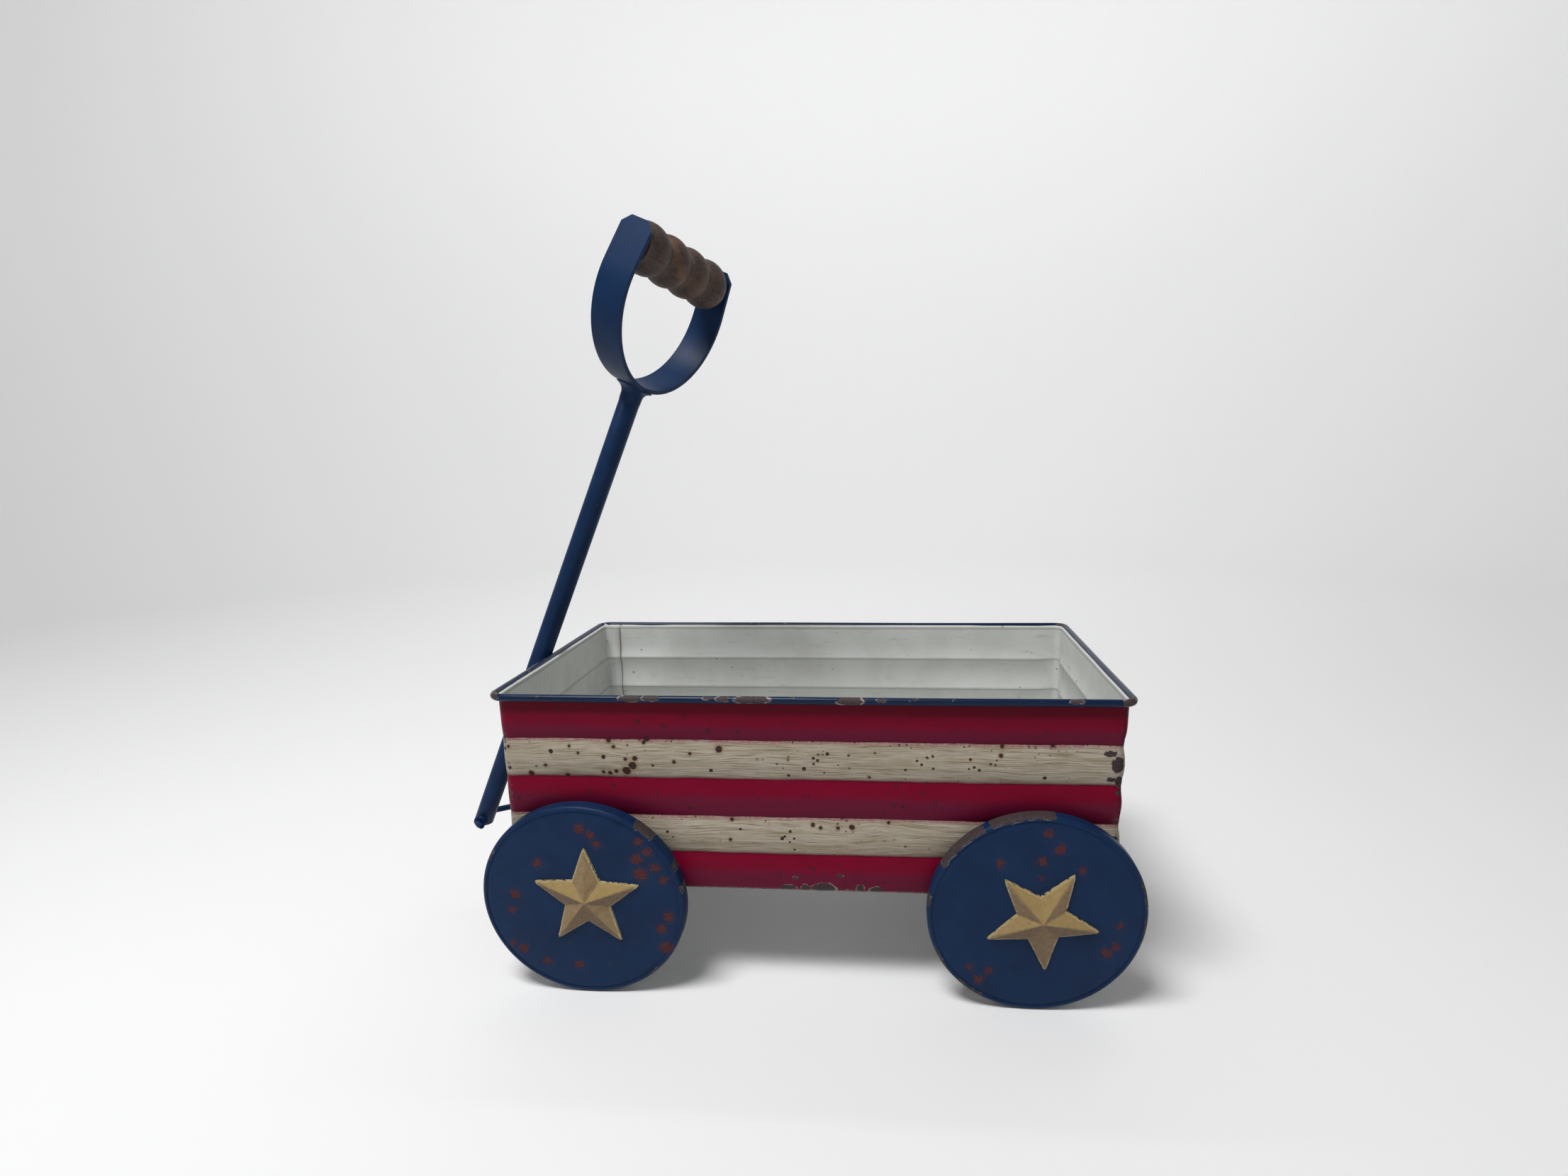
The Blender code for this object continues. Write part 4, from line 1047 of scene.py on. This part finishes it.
def yoke_pieces(sizes, paint):
    """The strap bent to a D, and the weld under it."""
    radius = YOKE_RADIUS
    lean = math.radians(YOKE_LEAN_DEGREES)
    top = YOKE_TOP
    foot = sizes.sheet_gap
    end_y = radius * math.cos(lean) - (top - radius - radius * math.sin(lean)) * math.tan(lean)
    side_y = radius * math.cos(lean)
    side_z = radius + radius * math.sin(lean)
    line = [(-end_y, top), (-(end_y + side_y) / 2, (top + side_z) / 2)]
    line += arc((0.0, radius), radius, 180.0 - YOKE_LEAN_DEGREES, 360.0 + YOKE_LEAN_DEGREES, 72)
    line += [((end_y + side_y) / 2, (top + side_z) / 2), (end_y, top)]
    half = YOKE_HALF_WIDTH
    clip = YOKE_CLIP
    shares = (-1.0, -0.92, -0.5, 0.0, 0.5, 0.92, 1.0)
    rows = []
    for index, (y, z) in enumerate(line):
        last = index in (0, len(line) - 1)
        narrow = half - clip if last else half
        rows.append([(narrow * share, y, z + foot) for share in shares])
    for place, end, below in ((1, line[0], line[1]), (-1, line[-1], line[-2])):
        drop = (Vector(below) - Vector(end)).normalized() * clip
        rows.insert(place, [(half * share, end[0] + drop.x, end[1] + drop.y + foot) for share in shares])
    strap = mesh_piece("yoke_band", rows, sharp=40.0)
    face_out(strap, 2)
    thicken(strap, sizes.strap, -1.0)
    soften(strap, 0.0004)
    strap.matrix_world = yoke_matrix()
    finish_piece(strap, paint, "handle", "navy_paint", "yoke_strap")
    inner = WELD_INNER_RADIUS
    profile = [(inner, 0.0010), (0.0102, 0.0010), (0.0100, -0.0003)]
    profile += arc((0.0103, -0.0048), 0.0043, 97.0, 176.0, 8)
    profile += [(0.0059, -0.0076), (0.0057, -0.0092), (inner, -0.0092)]
    rows = []
    for step in range(64):
        angle = math.tau * step / 64
        lump = 1.0 + 0.05 * noise.noise(Vector((math.cos(angle) * 2, math.sin(angle) * 2, 3.0)))
        row = []
        for r, z in profile:
            x, y = r * lump * math.cos(angle), r * lump * math.sin(angle)
            row.append((x, y, z + max(0.0, 1.0 + z / 0.006) * y * y / (2 * radius)))
        rows.append(row)
    weld = mesh_piece("yoke_weld_fillet", rows, True, True, 60.0)
    weld.matrix_world = yoke_matrix()
    return finish_piece(weld, paint, "handle", "navy_paint", "yoke_weld")


def bead_piece(number, paint):
    """A barrel bead turned about its pin, with a little roughness from the lathe."""
    node = f"grip_bead_{number}"
    corners = [Vector(vert.co) for vert in frame["nodes"][node].data.vertices]
    along = [(corner - GRIP).dot(GRIP_ACROSS) for corner in corners]
    middle = (min(along) + max(along)) / 2
    half = (max(along) - min(along)) / 2
    steps = 20
    line = []
    for step in range(steps + 1):
        share = 1 - 2 * step / steps
        crown = math.sqrt(1 - share * share * (1 - (BEAD_END_RADIUS / BEAD_RADIUS) ** 2))
        tool = 1.0 + 0.003 * noise.noise(Vector((share * 14.0, number, 0.0)))
        line.append((BEAD_RADIUS * crown * tool, half * share))
    line += [(BEAD_BORE_RADIUS, -half), (BEAD_BORE_RADIUS, half)]
    piece = turned(f"wooden_bead_{number}", line, 96, 50.0)
    place = handle_frame(GRIP + GRIP_ACROSS * middle, GRIP_ACROSS)
    piece.matrix_world = place @ Matrix.Rotation(-math.pi / 2, 4, "X")
    return finish_piece(piece, paint, f"bead_{number}", "walnut", node)


# Stage


def studio(colours, sizes):
    """A plain pale floor that curves up into a wall all round."""
    room = sizes.room
    sweep = 0.8
    line = [(0.0, 0.0), (room * 0.5, 0.0), (room, 0.0)]
    line += arc((room, sweep), sweep, -90.0, 0.0, 16) + [(room + sweep, 2.6)]
    rows = []
    for step in range(96):
        angle = math.tau * step / 96
        rows.append([(r * math.cos(angle), r * math.sin(angle), z) for r, z in line])
    floor = mesh_piece("studio_floor", rows, round_rows=True, sharp=60.0)
    finish = Finish("studio_floor", roughness=0.7, specular=0.2)
    drift = finish.noise(finish.places, 1.2, 2.0)
    finish.set(base_color=finish.mix(drift * 0.3, tuple(colours.stage), tone("f1f2f3")))
    floor.data.materials.append(finish.material)


def lamp(name, place, aim, size, power, tint=(1.0, 1.0, 1.0)):
    light = bpy.data.lights.new(name, "AREA")
    light.shape = "RECTANGLE"
    light.size, light.size_y = size
    light.energy = power
    light.color = tint
    made = bpy.data.objects.new(name, light)
    made.location = place
    made.rotation_euler = (Vector(aim) - Vector(place)).to_track_quat("-Z", "Y").to_euler()
    made.visible_camera = False
    bpy.context.scene.collection.objects.link(made)


def camera():
    """A close, wide view from a little right of the middle, looking down at the left side."""
    lens = bpy.data.cameras.new("camera")
    lens.sensor_width = 36.0
    lens.lens = 19.756
    lens.shift_x = -0.0159
    lens.shift_y = 0.0733
    lens.clip_start = 0.01
    lens.clip_end = 20.0
    yaw, pitch, roll = (math.radians(angle) for angle in (-5.43, -16.86, -1.01))
    ahead = Vector((math.sin(yaw) * math.cos(pitch), math.cos(yaw) * math.cos(pitch), math.sin(pitch)))
    level = Vector((math.cos(yaw), -math.sin(yaw), 0.0))
    upright = level.cross(ahead)
    right = level * math.cos(roll) + upright * math.sin(roll)
    up = upright * math.cos(roll) - level * math.sin(roll)
    made = bpy.data.objects.new("camera", lens)
    eye = Vector((MIDDLE_X + 0.0417, -0.4946, BOX_BOTTOM + 0.2284))
    made.matrix_world = Matrix.Translation(eye) @ Matrix((right, up, -ahead)).transposed().to_4x4()
    bpy.context.scene.collection.objects.link(made)
    bpy.context.scene.camera = made


# Operators


class PieceOperator:
    """What every operator shares: the sizes and the colours that the scene holds."""

    bl_options = {"REGISTER", "UNDO"}

    def execute(self, context):
        self.make(context.scene.wagon_sizes, context.scene.wagon_colours)
        return {"FINISHED"}


class WAGON_OT_stage(PieceOperator, bpy.types.Operator):
    """Make the floor, the soft lights and the camera"""

    bl_idname = "wagon.stage"
    bl_label = "Stage"

    def make(self, sizes, colours):
        studio(colours, sizes)
        lamp("soft_overhead", (-0.35, -0.55, 1.45), (0.0, 0.0, 0.0), (0.6, 0.4), 19.0)
        lamp("wall_wash", (0.0, 0.9, 1.9), (0.0, 2.4, 0.7), (2.0, 0.5), 20.0)
        world = bpy.context.scene.world or bpy.data.worlds.new("studio_air")
        bpy.context.scene.world = world
        world.use_nodes = True
        world.node_tree.nodes["Background"].inputs["Color"].default_value = (1.0, 1.0, 1.0, 1.0)
        world.node_tree.nodes["Background"].inputs["Strength"].default_value = 0.07
        bpy.context.scene.view_settings.view_transform = "Standard"
        camera()


class WAGON_OT_body_sheets(PieceOperator, bpy.types.Operator):
    """Make the two folded sheets of the box with their banded paint"""

    bl_idname = "wagon.body_sheets"
    bl_label = "Body sheets"

    def make(self, sizes, colours):
        inner = inside_paint(colours, band=sizes.band_height)
        outer = band_paint(colours, sizes, "band_paint_left", SIDE_CHIPS_MM)
        body_sheet(sizes, "painted_sheet_left_front", "sheet_left_front", 0.0, outer, inner)
        far = band_paint(colours, sizes, "band_paint_right", SIDE_CHIPS_MM[5:])
        body_sheet(sizes, "painted_sheet_right_rear", "sheet_right_rear", math.pi, far, inner)


class WAGON_OT_rim(PieceOperator, bpy.types.Operator):
    """Make the rolled rim round the top of the box"""

    bl_idname = "wagon.rim"
    bl_label = "Rolled rim"

    def make(self, sizes, colours):
        rolled_rim(sizes, rim_paint(colours))


class WAGON_OT_undercarriage(PieceOperator, bpy.types.Operator):
    """Finish the floor pan, the axles and the small steel parts"""

    bl_idname = "wagon.undercarriage"
    bl_label = "Floor and undercarriage"

    def make(self, sizes, colours):
        repaint("floor_pan", inside_paint(colours, "floor_paint"))
        steel = dark_steel(colours)
        for name in frame["nodes"]:
            if name.startswith(("axle", "hub", "hanger", "rim_wire", "grip_pin")):
                repaint(name, steel)


class WAGON_OT_wheels(PieceOperator, bpy.types.Operator):
    """Make the four pressed wheels and their raised stars"""

    bl_idname = "wagon.wheels"
    bl_label = "Wheels and stars"

    def make(self, sizes, colours):
        for end in ENDS:
            for side in SIDES:
                wheel_pieces(sizes, colours, end, side)


class WAGON_OT_hitch(PieceOperator, bpy.types.Operator):
    """Make the hitch wire"""

    bl_idname = "wagon.hitch"
    bl_label = "Hitch wire"

    def make(self, sizes, colours):
        hook_wire(sizes, navy_paint(colours, "hitch_paint", seed=5.0))


class WAGON_OT_handle(PieceOperator, bpy.types.Operator):
    """Make the pull tube, its sleeve and the strap yoke"""

    bl_idname = "wagon.handle"
    bl_label = "Pull handle"

    def make(self, sizes, colours):
        paint = navy_paint(colours, "handle_paint", seed=21.0, wear=0.2)
        tube_piece(paint)
        sleeve_piece(paint)
        yoke_pieces(sizes, navy_paint(colours, "yoke_paint", seed=33.0, wear=0.1))


class WAGON_OT_grip(PieceOperator, bpy.types.Operator):
    """Make the wooden beads of the grip"""

    bl_idname = "wagon.grip"
    bl_label = "Wooden grip"

    def make(self, sizes, colours):
        for number, warm in enumerate((0.15, 0.75, 0.35, 0.25), start=1):
            wood = bead_wood(colours, f"bead_wood_{number}", 17.0 * number, warm)
            bead_piece(number, wood)


OPERATORS = (
    WAGON_OT_stage,
    WAGON_OT_body_sheets,
    WAGON_OT_rim,
    WAGON_OT_undercarriage,
    WAGON_OT_wheels,
    WAGON_OT_hitch,
    WAGON_OT_handle,
    WAGON_OT_grip,
)


class WAGON_PT_pieces(bpy.types.Panel):
    """Lists what can be made and what can be changed"""

    bl_label = "Wagon"
    bl_idname = "WAGON_PT_pieces"
    bl_space_type = "VIEW_3D"
    bl_region_type = "UI"
    bl_category = "Wagon"

    def draw(self, context):
        for operator in OPERATORS:
            self.layout.operator(operator.bl_idname)
        for group in (context.scene.wagon_sizes, context.scene.wagon_colours):
            column = self.layout.column()
            for name in group.__annotations__:
                column.prop(group, name)


CLASSES = (WagonSizes, WagonColours, *OPERATORS, WAGON_PT_pieces)


def register():
    for made in CLASSES:
        bpy.utils.register_class(made)
    bpy.types.Scene.wagon_sizes = bpy.props.PointerProperty(type=WagonSizes)
    bpy.types.Scene.wagon_colours = bpy.props.PointerProperty(type=WagonColours)


def unregister():
    del bpy.types.Scene.wagon_colours
    del bpy.types.Scene.wagon_sizes
    for made in reversed(CLASSES):
        bpy.utils.unregister_class(made)


def main():
    register()
    for operator in OPERATORS:
        family, name = operator.bl_idname.split(".")
        getattr(getattr(bpy.ops, family), name)()


if __name__ == "__main__":
    main()
